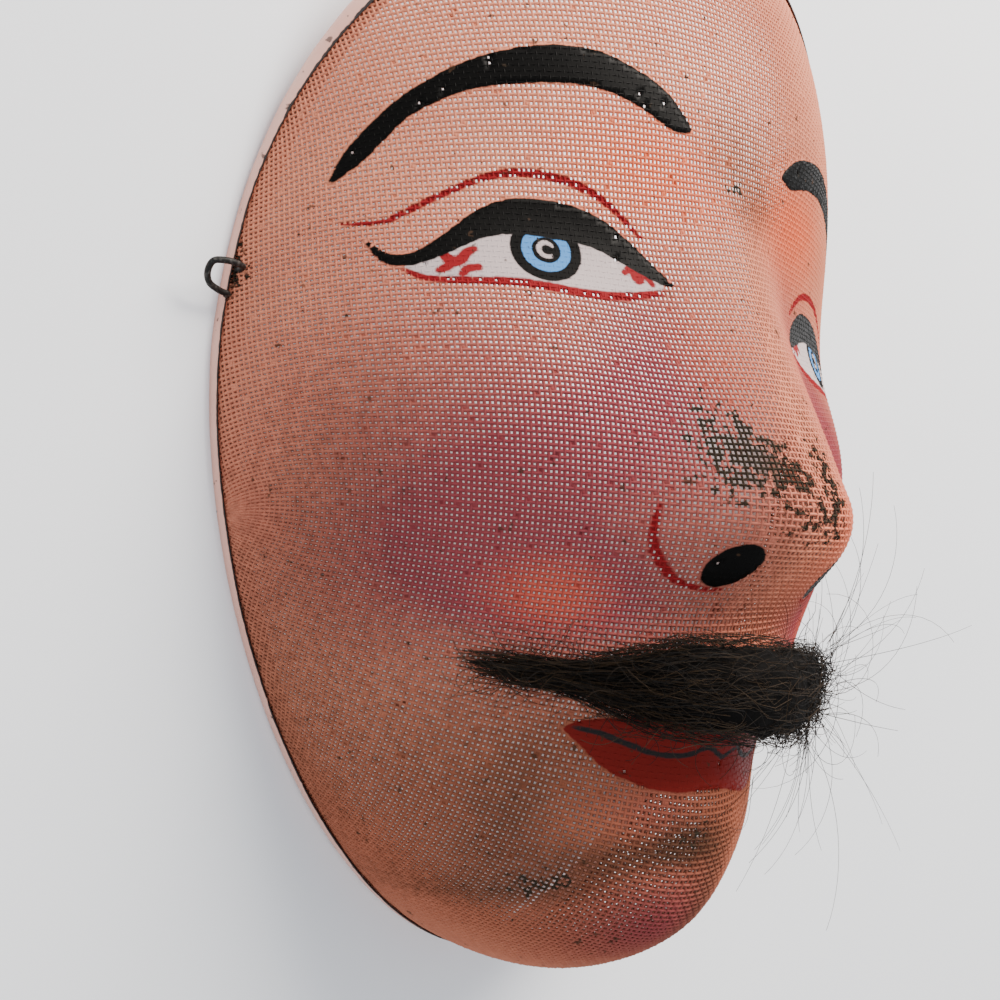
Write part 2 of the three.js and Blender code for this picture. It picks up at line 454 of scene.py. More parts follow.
    def relaxed(self, flat: np.ndarray, wires: int, steps: int) -> np.ndarray:
        """Lets the net settle.

        Args:
            flat: the net's crossings, laid out flat.
            wires: how many pitches lie between two neighbours of this net.
            steps: how many times it is eased.

        Returns:
            The settled net, laid out flat.
        """
        across, along = self.across_pitch * wires, self.along_pitch * wires
        every, head, tail = slice(None), slice(0, -1), slice(1, None)
        springs = (
            ((head, every), (tail, every), across, 1.0),
            ((every, head), (every, tail), along, 1.0),
            ((head, head), (tail, tail), math.hypot(across, along), self.shear_stiffness),
            ((tail, head), (head, tail), math.hypot(across, along), self.shear_stiffness),
        )
        stiffness = np.zeros(flat.shape[:2])
        for a, b, _, k in springs:
            stiffness[a] += k
            stiffness[b] += k
        for step in range(steps):
            place = self.lifted(flat)
            if step % self.slopes_every == 0:
                east, north = self.slopes(flat)
                ee, en, nn = [(p * q).sum(-1) for p, q in ((east, east), (east, north), (north, north))]
                ee, nn = ee + self.slope_guard, nn + self.slope_guard
                det = ee * nn - en * en + SMALL
            pull = np.zeros_like(place)
            for a, b, rest, k in springs:
                gap = place[b] - place[a]
                length = np.linalg.norm(gap, axis=-1) + TINY
                force = (k * (length - rest) / length)[..., None] * gap * 0.5
                pull[a] += force
                pull[b] -= force
            pull *= (self.eagerness / stiffness)[..., None]
            u, v = (pull * east).sum(-1), (pull * north).sum(-1)
            move = np.stack([(nn * u - en * v) / det, (ee * v - en * u) / det], -1)
            size = np.linalg.norm(move, axis=-1, keepdims=True)
            flat = flat + move * np.minimum(1, self.longest_move * across / (size + TINY))
            last = step == steps - 1
            if last or step % self.spread_every == self.spread_every - 1:
                tries = self.last_spread_tries if last else self.spread_tries
                flat = self.untangled(flat, across * along, tries)
        return flat

    def untangled(self, flat: np.ndarray, opening: float, tries: int) -> np.ndarray:
        """Spreads the wires where the net is about to fold over itself.

        Args:
            flat: the net's crossings, laid out flat.
            opening: the area of a whole opening.
            tries: the most times that it is spread.

        Returns:
            The spread net.
        """
        for _ in range(tries):
            low, high = flat[:-1, :-1], flat[1:, 1:]
            right, left = flat[1:, :-1] - low, flat[:-1, 1:] - low
            near = right[..., 0] * left[..., 1] - right[..., 1] * left[..., 0]
            right, left = high - flat[:-1, 1:], high - flat[1:, :-1]
            far = right[..., 0] * left[..., 1] - right[..., 1] * left[..., 0]
            tight = np.minimum(near, far) < self.least_opening * opening
            if not tight.any():
                break
            mark = np.zeros(flat.shape[:2])
            for a, b in ((0, 0), (1, 0), (0, 1), (1, 1)):
                mark[a : a + tight.shape[0], b : b + tight.shape[1]] += tight
            wide = mark.copy()
            for a, b in ((slice(1, None), slice(None, -1)), (slice(None, -1), slice(1, None))):
                wide[a] += mark[b]
                wide[:, a] += mark[:, b]
            inner = flat[1:-1, 1:-1]
            drawn = (flat[2:, 1:-1] + flat[:-2, 1:-1] + flat[1:-1, 2:] + flat[1:-1, :-2]) / 4 - inner
            spread = np.minimum(1, wide)[1:-1, 1:-1, None] * self.spread_share
            flat[1:-1, 1:-1] = inner + spread * drawn
        return flat


@dataclass(frozen=True)
class Stroke:
    """A brush stroke: points of x, y and half width, on the right side and mirrored to the left."""

    points: tuple[tuple[float, float, float], ...]
    cuts: int = 3

    def distance(self, x: np.ndarray, y: np.ndarray) -> np.ndarray:
        """Measures how far outside the stroke points lie.

        Args:
            x: the points' x.
            y: the points' y.

        Returns:
            The distances in millimetres, below 0 inside the stroke.
        """
        course = eased(np.array(self.points), self.cuts)
        best = np.full(np.shape(x), FAR)
        side = np.abs(x)
        for a, b in zip(course[:-1], course[1:]):
            run = b[:2] - a[:2]
            t = np.clip(((side - a[0]) * run[0] + (y - a[1]) * run[1]) / (run @ run + TINY), 0, 1)
            gap = np.hypot(side - a[0] - t * run[0], y - a[1] - t * run[1])
            best = np.minimum(best, gap - (a[2] + t * (b[2] - a[2])))
        return best


@dataclass(frozen=True)
class Region:
    """A painted area inside an outline of x and y, on the right side and mirrored to the left."""

    outline: tuple[tuple[float, float], ...]

    def distance(self, x: np.ndarray, y: np.ndarray) -> np.ndarray:
        """Measures how far outside the area points lie.

        Args:
            x: the points' x.
            y: the points' y.

        Returns:
            The distances in millimetres, below 0 inside the area.
        """
        corners = np.array(self.outline)
        best = np.full(np.shape(x), FAR)
        odd = np.zeros(np.shape(x), bool)
        side = np.abs(x)
        for a, b in zip(corners, np.roll(corners, -1, axis=0)):
            run = b - a
            t = np.clip(((side - a[0]) * run[0] + (y - a[1]) * run[1]) / (run @ run + TINY), 0, 1)
            best = np.minimum(best, np.hypot(side - a[0] - t * run[0], y - a[1] - t * run[1]))
            crosses = (a[1] > y) != (b[1] > y)
            rise = run[1] if abs(run[1]) > TINY else TINY
            odd ^= crosses & (side < a[0] + (y - a[1]) * run[0] / rise)
        return np.where(odd, -best, best)


def eased(points: np.ndarray, cuts: int) -> np.ndarray:
    """A smooth line through points.

    Args:
        points: rows of a point's values.
        cuts: how many stretches each gap is cut into.

    Returns:
        The points of the smooth line, the given ones among them.
    """
    padded = np.concatenate([2 * points[:1] - points[1:2], points, 2 * points[-1:] - points[-2:-1]])
    line = []
    for p0, p1, p2, p3 in zip(padded[:-3], padded[1:-2], padded[2:-1], padded[3:]):
        for t in np.arange(cuts) / cuts:
            bend = (2 * p0 - 5 * p1 + 4 * p2 - p3) * t * t + (3 * p1 - p0 - 3 * p2 + p3) * t**3
            line.append(0.5 * (2 * p1 + (p2 - p0) * t + bend))
    line.append(points[-1])
    return np.array(line)


@dataclass(frozen=True)
class Bloom:
    """A soft patch of colour, wear, dirt, painted shade or painted highlight, where x is negative on the
    mask's right side.
    """

    x: float
    y: float
    reach_x: float
    reach_y: float
    strength: float = 1.0
    turn: float = 0.0
    both_sides: bool = False

    def amount(self, x: np.ndarray, y: np.ndarray) -> np.ndarray:
        """Works out how strong the patch is.

        Args:
            x: the points' x.
            y: the points' y.

        Returns:
            The patch's strength at each point.
        """
        dx = (-np.abs(x) if self.both_sides else x) - self.x
        dy = y - self.y
        c, s = math.cos(self.turn), math.sin(self.turn)
        u, v = (dx * c + dy * s) / self.reach_x, (dy * c - dx * s) / self.reach_y
        return self.strength * np.exp(-(u * u + v * v) / 2)


def together(blooms: tuple[Bloom, ...], x: np.ndarray, y: np.ndarray) -> np.ndarray:
    """The strengths of several patches, added up at each point."""
    return sum(bloom.amount(x, y) for bloom in blooms)


@dataclass(frozen=True)
class FacePaint:
    """The painted features, what age did to them, and some painted shade and highlight, as fields over the
    form.
    """

    brow: Stroke = Stroke((
        (71.3, 25.8, 0.3), (68.4, 31.6, 1.4), (63.6, 39.9, 1.5), (58.4, 45.4, 1.9), (53.0, 49.4, 2.5),
        (47.0, 52.2, 3.1), (41.0, 54.2, 3.4), (34.0, 55.2, 3.4), (26.2, 54.1, 3.1), (21.5, 52.6, 3.0),
        (17.8, 50.8, 2.3), (14.8, 50.0, 0.8),
    ))
    upper_lid: Stroke = Stroke((
        (66.7, 16.8, 0.3), (63.9, 14.2, 0.9), (60.5, 14.9, 1.0), (57.3, 17.3, 1.2), (54.2, 20.0, 1.6),
        (50.6, 23.2, 2.2), (45.3, 25.9, 3.1), (38.5, 26.9, 3.4), (31.5, 26.6, 3.0), (25.0, 23.9, 2.2),
        (19.4, 20.9, 1.1), (17.4, 20.2, 0.3),
    ))
    eye_white: Region = Region((
        (61.7, 13.2), (58.5, 12.3), (51.5, 13.7), (43.8, 15.0), (33.7, 15.4), (26.0, 16.8), (19.2, 18.8),
        (18.9, 20.6), (25.0, 24.0), (31.5, 26.7), (38.5, 26.9), (45.3, 25.8), (51.0, 23.0), (54.2, 20.0),
        (57.3, 17.4), (60.5, 14.9),
    ))
    lower_lid: Stroke = Stroke((
        (61.9, 13.0, 0.3), (58.5, 12.0, 0.55), (51.5, 13.2, 0.65), (43.8, 14.5, 0.75), (33.7, 14.9, 0.8),
        (26.0, 16.2, 0.75), (19.2, 18.4, 0.55),
    ))
    crease: Stroke = Stroke((
        (69.6, 19.0, 0.3), (65.0, 20.2, 0.45), (62.4, 22.1, 0.5), (58.3, 25.6, 0.55), (54.0, 29.0, 0.6),
        (49.6, 32.0, 0.7), (45.0, 33.8, 0.8), (40.0, 34.4, 0.8), (35.6, 34.2, 0.8), (31.0, 33.0, 0.7),
        (27.0, 30.8, 0.6), (22.6, 27.5, 0.4),
    ))
    nose_wing: Stroke = Stroke((
        (25.9, -19.4, 0.4), (25.9, -23.7, 0.6), (24.4, -27.0, 0.7), (22.4, -29.2, 0.7), (19.8, -31.2, 0.6),
        (16.9, -32.1, 0.5), (13.8, -32.3, 0.45), (11.4, -31.9, 0.3),
    ))
    lips: Region = Region((
        (-3.0, -56.0), (0.0, -57.0), (4.8, -53.9), (12.1, -54.7), (20.8, -56.4), (26.4, -57.8), (28.4, -59.6),
        (25.2, -62.1), (21.8, -65.1), (18.7, -66.8), (13.9, -68.2), (8.8, -68.4), (2.5, -67.5), (-3.0, -67.4),
    ))
    mouth: Stroke = Stroke((
        (26.7, -59.2, 0.35), (22.8, -59.6, 0.5), (17.9, -61.0, 0.5), (12.8, -62.1, 0.5), (7.6, -61.6, 0.5),
        (4.0, -60.0, 0.45), (0.0, -61.8, 0.45),
    ))
    blots: tuple[Stroke, ...] = (
        Stroke((
            (57.2, 13.6, 0.5), (55.4, 15.0, 0.75), (56.2, 16.6, 0.7), (54.4, 15.8, 0.8), (52.8, 17.8, 0.75),
            (51.6, 18.8, 0.5),
        )),
        Stroke(((53.8, 13.8, 0.5), (52.8, 15.0, 0.7), (51.2, 15.6, 0.6))),
        Stroke((
            (26.2, 20.4, 0.5), (24.8, 21.6, 0.75), (23.7, 19.6, 0.8), (22.4, 21.2, 0.75), (21.1, 19.5, 0.6),
        )),
    )
    glint: Stroke = Stroke((
        (38.9, 22.2, 0.3), (40.0, 22.6, 0.4), (41.1, 21.9, 0.42), (41.2, 20.8, 0.42), (40.3, 20.1, 0.4),
        (39.1, 20.3, 0.3),
    ))
    left_eye_drop: float = 3.2
    nostril_middle: tuple[float, float] = (13.0, -27.6)
    nostril_long: tuple[float, float] = (-2.9, 3.1)
    nostril_short: tuple[float, float] = (2.5, 2.7)
    iris_middle: tuple[float, float] = (40.0, 21.2)
    iris_stretch: tuple[float, float, float] = (1.0, 1.12, 1.0)
    # Rose blush on the cheeks and chin; the patches nearest the nose, at x 15 and 26 on each side, are laid
    # deep as painted shade on the nose's sides.
    rouge_and_nose_shade: tuple[Bloom, ...] = (
        Bloom(-47, -14, 17, 22, 1.05, both_sides=True),
        Bloom(-54, -34, 9, 11, 0.5, both_sides=True),
        Bloom(-36, -38, 11, 7, 0.6, both_sides=True),
        Bloom(-26, 4, 9, 20, 0.65, -0.2, both_sides=True),
        Bloom(-15, -6, 8, 22, 0.45, both_sides=True),
        Bloom(-20, -38, 14, 9, 0.45, both_sides=True),
        Bloom(-5, -93, 8, 7, 1.0),
        Bloom(-12, -72, 6, 4, 0.35),
    )
    # An orange tint; the patch low on each cheek, at x 36, is a painted highlight where the cheek catches the
    # light.
    warm_tint_and_highlight: tuple[Bloom, ...] = (
        Bloom(-36, -37, 7, 5, 0.55, both_sides=True),
        Bloom(-22, 41, 13, 8, 1.0, both_sides=True),
        Bloom(-14, 8, 7, 10, 0.3, both_sides=True),
        Bloom(8, -20, 10, 10, 0.5),
    )
    tan: tuple[Bloom, ...] = (
        Bloom(10, -82, 28, 26, 1.0),
        Bloom(-30, -78, 26, 20, 0.95),
        Bloom(30, 34, 26, 26, 0.5),
        Bloom(-68, 10, 12, 60, 0.2),
        Bloom(-66, -46, 10, 26, 0.25),
    )
    wear: tuple[Bloom, ...] = (
        Bloom(-16, -9, 5, 6.5, 0.85),
        Bloom(-8, -10, 3.2, 3, 0.85),
        Bloom(-3.5, -18, 4, 3, 0.66),
        Bloom(2, -9, 2.5, 8, 0.7),
        Bloom(-2, 43, 2.2, 1.4, 0.75),
        Bloom(-24, -88, 4, 2, 0.7, 0.5),
        Bloom(-4.5, -76, 3, 2.5, 0.55),
        Bloom(-81, 9.5, 1.5, 3.6, 1.0),
    )
    grime: tuple[Bloom, ...] = (
        Bloom(-2, 50, 10, 8, 0.7),
        Bloom(4, 41, 6, 5, 0.6),
        Bloom(-8, -14, 14, 13, 0.25),
        Bloom(-24, -89, 7, 3, 1.1, 0.5),
        Bloom(-5, -77, 5, 4, 1.2),
        Bloom(4, -88, 4, 9, 1.1),
        Bloom(-15, -80, 10, 2.5, 0.9, 0.25),
        Bloom(-32, -77, 4, 11, 0.6),
        Bloom(-52, -62, 16, 22, 0.6, 0.4, both_sides=True),
        Bloom(-66, -20, 8, 22, 0.5, both_sides=True),
        Bloom(-30, -70, 12, 8, 0.3, both_sides=True),
        Bloom(-12, -30, 10, 8, 0.35),
    )

    def nostril(self, x: np.ndarray, y: np.ndarray) -> np.ndarray:
        """Measures how far outside the painted nostrils points lie.

        Args:
            x: the points' x.
            y: the points' y.

        Returns:
            The distances in millimetres, below 0 inside them.
        """
        basis = np.linalg.inv(np.array([self.nostril_long, self.nostril_short]).T)
        dx, dy = np.abs(x) - self.nostril_middle[0], y - self.nostril_middle[1]
        u = basis[0, 0] * dx + basis[0, 1] * dy
        v = basis[1, 0] * dx + basis[1, 1] * dy
        return (np.hypot(u, v) - 1) * np.hypot(*self.nostril_short)

    def iris(self, form: FaceForm, x: np.ndarray, y: np.ndarray) -> np.ndarray:
        """Measures how far from the middle of the iris points lie.

        Args:
            form: the face's shape.
            x: the points' x.
            y: the points' y.

        Returns:
            The distances in millimetres, a little more along the face than across it.
        """
        cx, cy = self.iris_middle
        here = form.point(np.abs(x), y)
        middle = form.point(np.array(cx), np.array(cy))
        return np.linalg.norm((here - middle) * np.array(self.iris_stretch), axis=-1)

    def fields(self, form: FaceForm, x: np.ndarray, y: np.ndarray) -> dict[str, np.ndarray]:
        """Works out every field at points of the form.

        Args:
            form: the face's shape.
            x: the points' x.
            y: the points' y.

        Returns:
            Field names and their values at the points.
        """
        eye_y = y + np.where(x > 0, self.left_eye_drop, 0.0)
        black = np.minimum(self.brow.distance(x, y), self.upper_lid.distance(x, eye_y))
        lines = [self.nose_wing.distance(x, y)]
        lines += [stroke.distance(x, eye_y) for stroke in (self.crease, self.lower_lid, *self.blots)]
        return {
            "black": np.minimum(black, self.nostril(x, y)),
            "red": np.minimum.reduce(lines),
            "glint": self.glint.distance(x, eye_y),
            "white": self.eye_white.distance(x, eye_y),
            "lips": self.lips.distance(x, y),
            "mouth": self.mouth.distance(x, y),
            "iris": self.iris(form, x, eye_y),
            "rouge_and_nose_shade": together(self.rouge_and_nose_shade, x, y),
            "warm_tint_and_highlight": together(self.warm_tint_and_highlight, x, y),
            "tan": together(self.tan, x, y),
            "wear": together(self.wear, x, y),
            "grime": together(self.grime, x, y),
        }

    def solid(self, fields: dict[str, np.ndarray]) -> np.ndarray:
        """How far outside the black, the whites and the lips each point lies, from its fields."""
        return np.minimum(np.minimum(fields["black"], fields["white"]), fields["lips"])


def write_field(mesh: bpy.types.Mesh, name: str, values: np.ndarray) -> None:
    """Stores one value per vertex on a mesh, for its material to read."""
    attribute = mesh.attributes.new(name, "FLOAT", "POINT")
    attribute.data.foreach_set("value", np.clip(values, DEEP, FAR).astype(np.float32))


def vertex_points(mesh: bpy.types.Mesh) -> np.ndarray:
    """Reads a mesh's vertex positions.

    Args:
        mesh: the mesh.

    Returns:
        The positions as rows.
    """
    flat = np.zeros(len(mesh.vertices) * 3, np.float32)
    mesh.vertices.foreach_get("co", flat)
    return flat.reshape(-1, 3).astype(float)


def new_object(name: str, data: bpy.types.ID) -> bpy.types.Object:
    """Puts new data in the scene.

    Args:
        name: the object's name.
        data: its mesh, curve, lamp or camera.

    Returns:
        The object.
    """
    piece = bpy.data.objects.new(name, data)
    bpy.context.scene.collection.objects.link(piece)
    return piece


def finished(name: str, shape: bmesh.types.BMesh, rounded: bool = True) -> bpy.types.Object:
    """Makes a piece of a shape, and frees the shape.

    Args:
        name: the piece's name.
        shape: the finished shape.
        rounded: whether it is shaded smooth.

    Returns:
        The mesh object.
    """
    mesh = bpy.data.meshes.new(name)
    shape.to_mesh(mesh)
    shape.free()
    mesh.polygons.foreach_set("use_smooth", np.full(len(mesh.polygons), rounded))
    return new_object(name, mesh)


def swept(
    name: str, lines: list[np.ndarray], sizes: list[np.ndarray], radius: float, rounding: int = 0
) -> bpy.types.Object:
    """Sweeps a round section along lines and makes one mesh of them.

    Args:
        name: the piece's name.
        lines: the middle lines, as rows of points in metres.
        sizes: for each line, the share of the radius at each point.
        radius: the section's full radius in metres.
        rounding: 0 gives the section 4 sides, and each step 2 more.

    Returns:
        The mesh object, with each line's points in order and their ring of vertices in turn.
    """
    curve = bpy.data.curves.new(name, "CURVE")
    curve.dimensions = "3D"
    curve.bevel_depth = radius
    curve.bevel_resolution = rounding
    for line, size in zip(lines, sizes):
        spline = curve.splines.new("POLY")
        spline.points.add(len(line) - 1)
        places = np.column_stack([line, np.ones(len(line))])
        spline.points.foreach_set("co", places.astype(np.float32).ravel())
        spline.points.foreach_set("radius", size.astype(np.float32))
    route = new_object(name + "_route", curve)
    depsgraph = bpy.context.evaluated_depsgraph_get()
    mesh = bpy.data.meshes.new_from_object(route.evaluated_get(depsgraph))
    bpy.data.objects.remove(route)
    mesh.polygons.foreach_set("use_smooth", np.ones(len(mesh.polygons), bool))
    mesh.name = name
    return new_object(name, mesh)


def settle(piece: bpy.types.Object, material: bpy.types.Material, slot: str, *nodes: str) -> bpy.types.Object:
    """Gives a finished piece its material and its place in the frame.

    Args:
        piece: the mesh object.
        material: its finish.
        slot: the record's material slot; not used.
        nodes: the CAD nodes that it stands for.

    Returns:
        The same piece.
    """
    piece.data.materials.clear()
    piece.data.materials.append(material)
    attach(piece, "root")
    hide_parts(*nodes)
    log.info("%s: %d faces", piece.name, len(piece.data.polygons))
    return piece


def begin_material(
    name: str,
) -> tuple[bpy.types.Material, bpy.types.NodeTree, bpy.types.Node, bpy.types.NodeSocket]:
    """Starts a material.

    Args:
        name: the material's name.

    Returns:
        The material, its node tree, its shader, and the Object coordinates that its patterns lie on.
    """
    material = bpy.data.materials.new(name)
    material.use_nodes = True
    tree = material.node_tree
    return material, tree, tree.nodes["Principled BSDF"], add(tree, "TexCoord", {}).outputs["Object"]


@dataclass(frozen=True)
class Coat:
    """One colour of the paint, laid over what is under it where a field runs from one value to another.

    It reads one of FacePaint's fields, or "front" for the side of the wire, or "speck" for the spatter.
    The edge is moved about by the brush, by up to ragged millimetres, and cover is the most it hides.
    """

    colour: str
    reads: str
    bare: float
    full: float
    ragged: float = 0.0
    cover: float = 1.0


@dataclass(frozen=True)
class OilPaintOnWire:
    """Old oil paint on woven iron wire, brushed on by hand.

    The paint is thick enough to soften the wires, and it gives the eye a low, broken sheen that is a
    little higher on the black and the lips. The flesh is a pink salmon with rose blush paint rubbed in,
    laid deeper beside the nose as painted shade, and an orange tint that is partly a painted highlight
    on the cheeks. The features are painted over it, and where it is worn off the rusty wire shows. The
    backs of the wires are a duller brown: the thinner paint inside, and painted shade on their sides in
    the openings.
    """

    flesh: str = "#dd9070"
    flesh_deep: str = "#c67860"
    coats: tuple[Coat, ...] = (
        Coat("#975842", "tan", 0.1, 1.0, 0.2),
        # Rose blush, laid deeper beside the nose as painted shade.
        Coat("#853b40", "rouge_and_nose_shade", 0.05, 1.15, 0.12),
        # Orange tint, partly a painted highlight on the cheeks.
        Coat("#dd6238", "warm_tint_and_highlight", 0.1, 1.4, 0.1),
        Coat("#3d2c20", "grime", 0.25, 1.5, 0.45, 0.85),
        Coat("#b8a8a6", "white", 0.12, -0.12, 0.2),
        Coat("#821c20", "red", 0.15, -0.15, 0.25),
        Coat("#090807", "iris", 6.8, 6.5, 0.15),
        Coat("#4d86bf", "iris", 4.7, 4.5, 0.15),
        Coat("#090807", "iris", 2.8, 2.6, 0.15),
        Coat("#b8a8a6", "glint", 0.1, -0.1, 0.1),
        Coat("#6e1b17", "lips", 0.15, -0.15, 0.3),
        Coat("#272424", "mouth", 0.15, -0.15, 0.2),
        Coat("#090807", "black", 0.12, -0.12, 0.25),
        Coat("#3d2c20", "speck", 0.69, 0.74, 0.0, 0.8),
        Coat("#31281f", "wear", 0.6, 0.7, 1.3),
        # The backs of the wires take a duller brown: the thinner paint inside, and painted shade on the
        # wires' sides in the openings.
        Coat("#8d6a5c", "front", -0.1, -0.8),
    )
    brush_mm: float = 1.6
    mottle_mm: float = 14.0
    speck_mm: float = 2.4
    flesh_roughness: float = 0.6
    gloss_roughness: float = 0.42
    specular: float = 0.05
    relief: float = 0.3
    relief_mm: float = 0.12

    def build(self) -> bpy.types.Material:
        """Makes the material.

        Returns:
            The material, which reads the fields that FacePaint works out.
        """
        material, tree, shader, place = begin_material("oil_paint_on_woven_iron_wire")
        # The real bristle marks are finer than a wire; 1.6 mm is as fine as shows at this distance.
        brush = add(tree, "TexNoise", {"Vector": place, "Scale": 1 / (self.brush_mm * MM), "Detail": 3.0})
        mottle = add(tree, "TexNoise", {"Vector": place, "Scale": 1 / (self.mottle_mm * MM), "Detail": 4.0})
        speck = add(tree, "TexNoise", {"Vector": place, "Scale": 1 / (self.speck_mm * MM), "Detail": 2.0})
        shift = add(tree, "Math", {0: brush.outputs["Fac"], 1: 0.5}, operation="SUBTRACT").outputs[0]
        flesh = {0: mottle.outputs["Fac"], 6: linear(self.flesh), 7: linear(self.flesh_deep)}
        colour = add(tree, "Mix", flesh, data_type="RGBA").outputs[2]
        masks = {}
        for coat in self.coats:
            value = speck.outputs["Fac"]
            if coat.reads != "speck":
                value = add(tree, "Attribute", {}, attribute_name=coat.reads).outputs["Fac"]
            if coat.ragged:
                edge = {0: shift, 1: coat.ragged * 2, 2: value}
                value = add(tree, "Math", edge, operation="MULTIPLY_ADD").outputs[0]
            span = {"Value": value, "From Min": coat.bare, "From Max": coat.full}
            mask = masks[coat.reads] = add(tree, "MapRange", span).outputs[0]
            if coat.cover < 1:
                mask = add(tree, "Math", {0: mask, 1: coat.cover}, operation="MULTIPLY").outputs[0]
            laid = {0: mask, 6: colour, 7: linear(coat.colour)}
            colour = add(tree, "Mix", laid, data_type="RGBA").outputs[2]
        tree.links.new(colour, shader.inputs["Base Color"])
        gloss = add(tree, "Math", {0: masks["black"], 1: masks["lips"]}, operation="MAXIMUM").outputs[0]
        sheen = {"Value": gloss, "To Min": self.flesh_roughness, "To Max": self.gloss_roughness}
        tree.links.new(add(tree, "MapRange", sheen).outputs[0], shader.inputs["Roughness"])
        shader.inputs["Specular IOR Level"].default_value = self.specular
        marks = {"Height": brush.outputs["Fac"], "Strength": self.relief, "Distance": self.relief_mm * MM}
        tree.links.new(add(tree, "Bump", marks).outputs["Normal"], shader.inputs["Normal"])
        return material


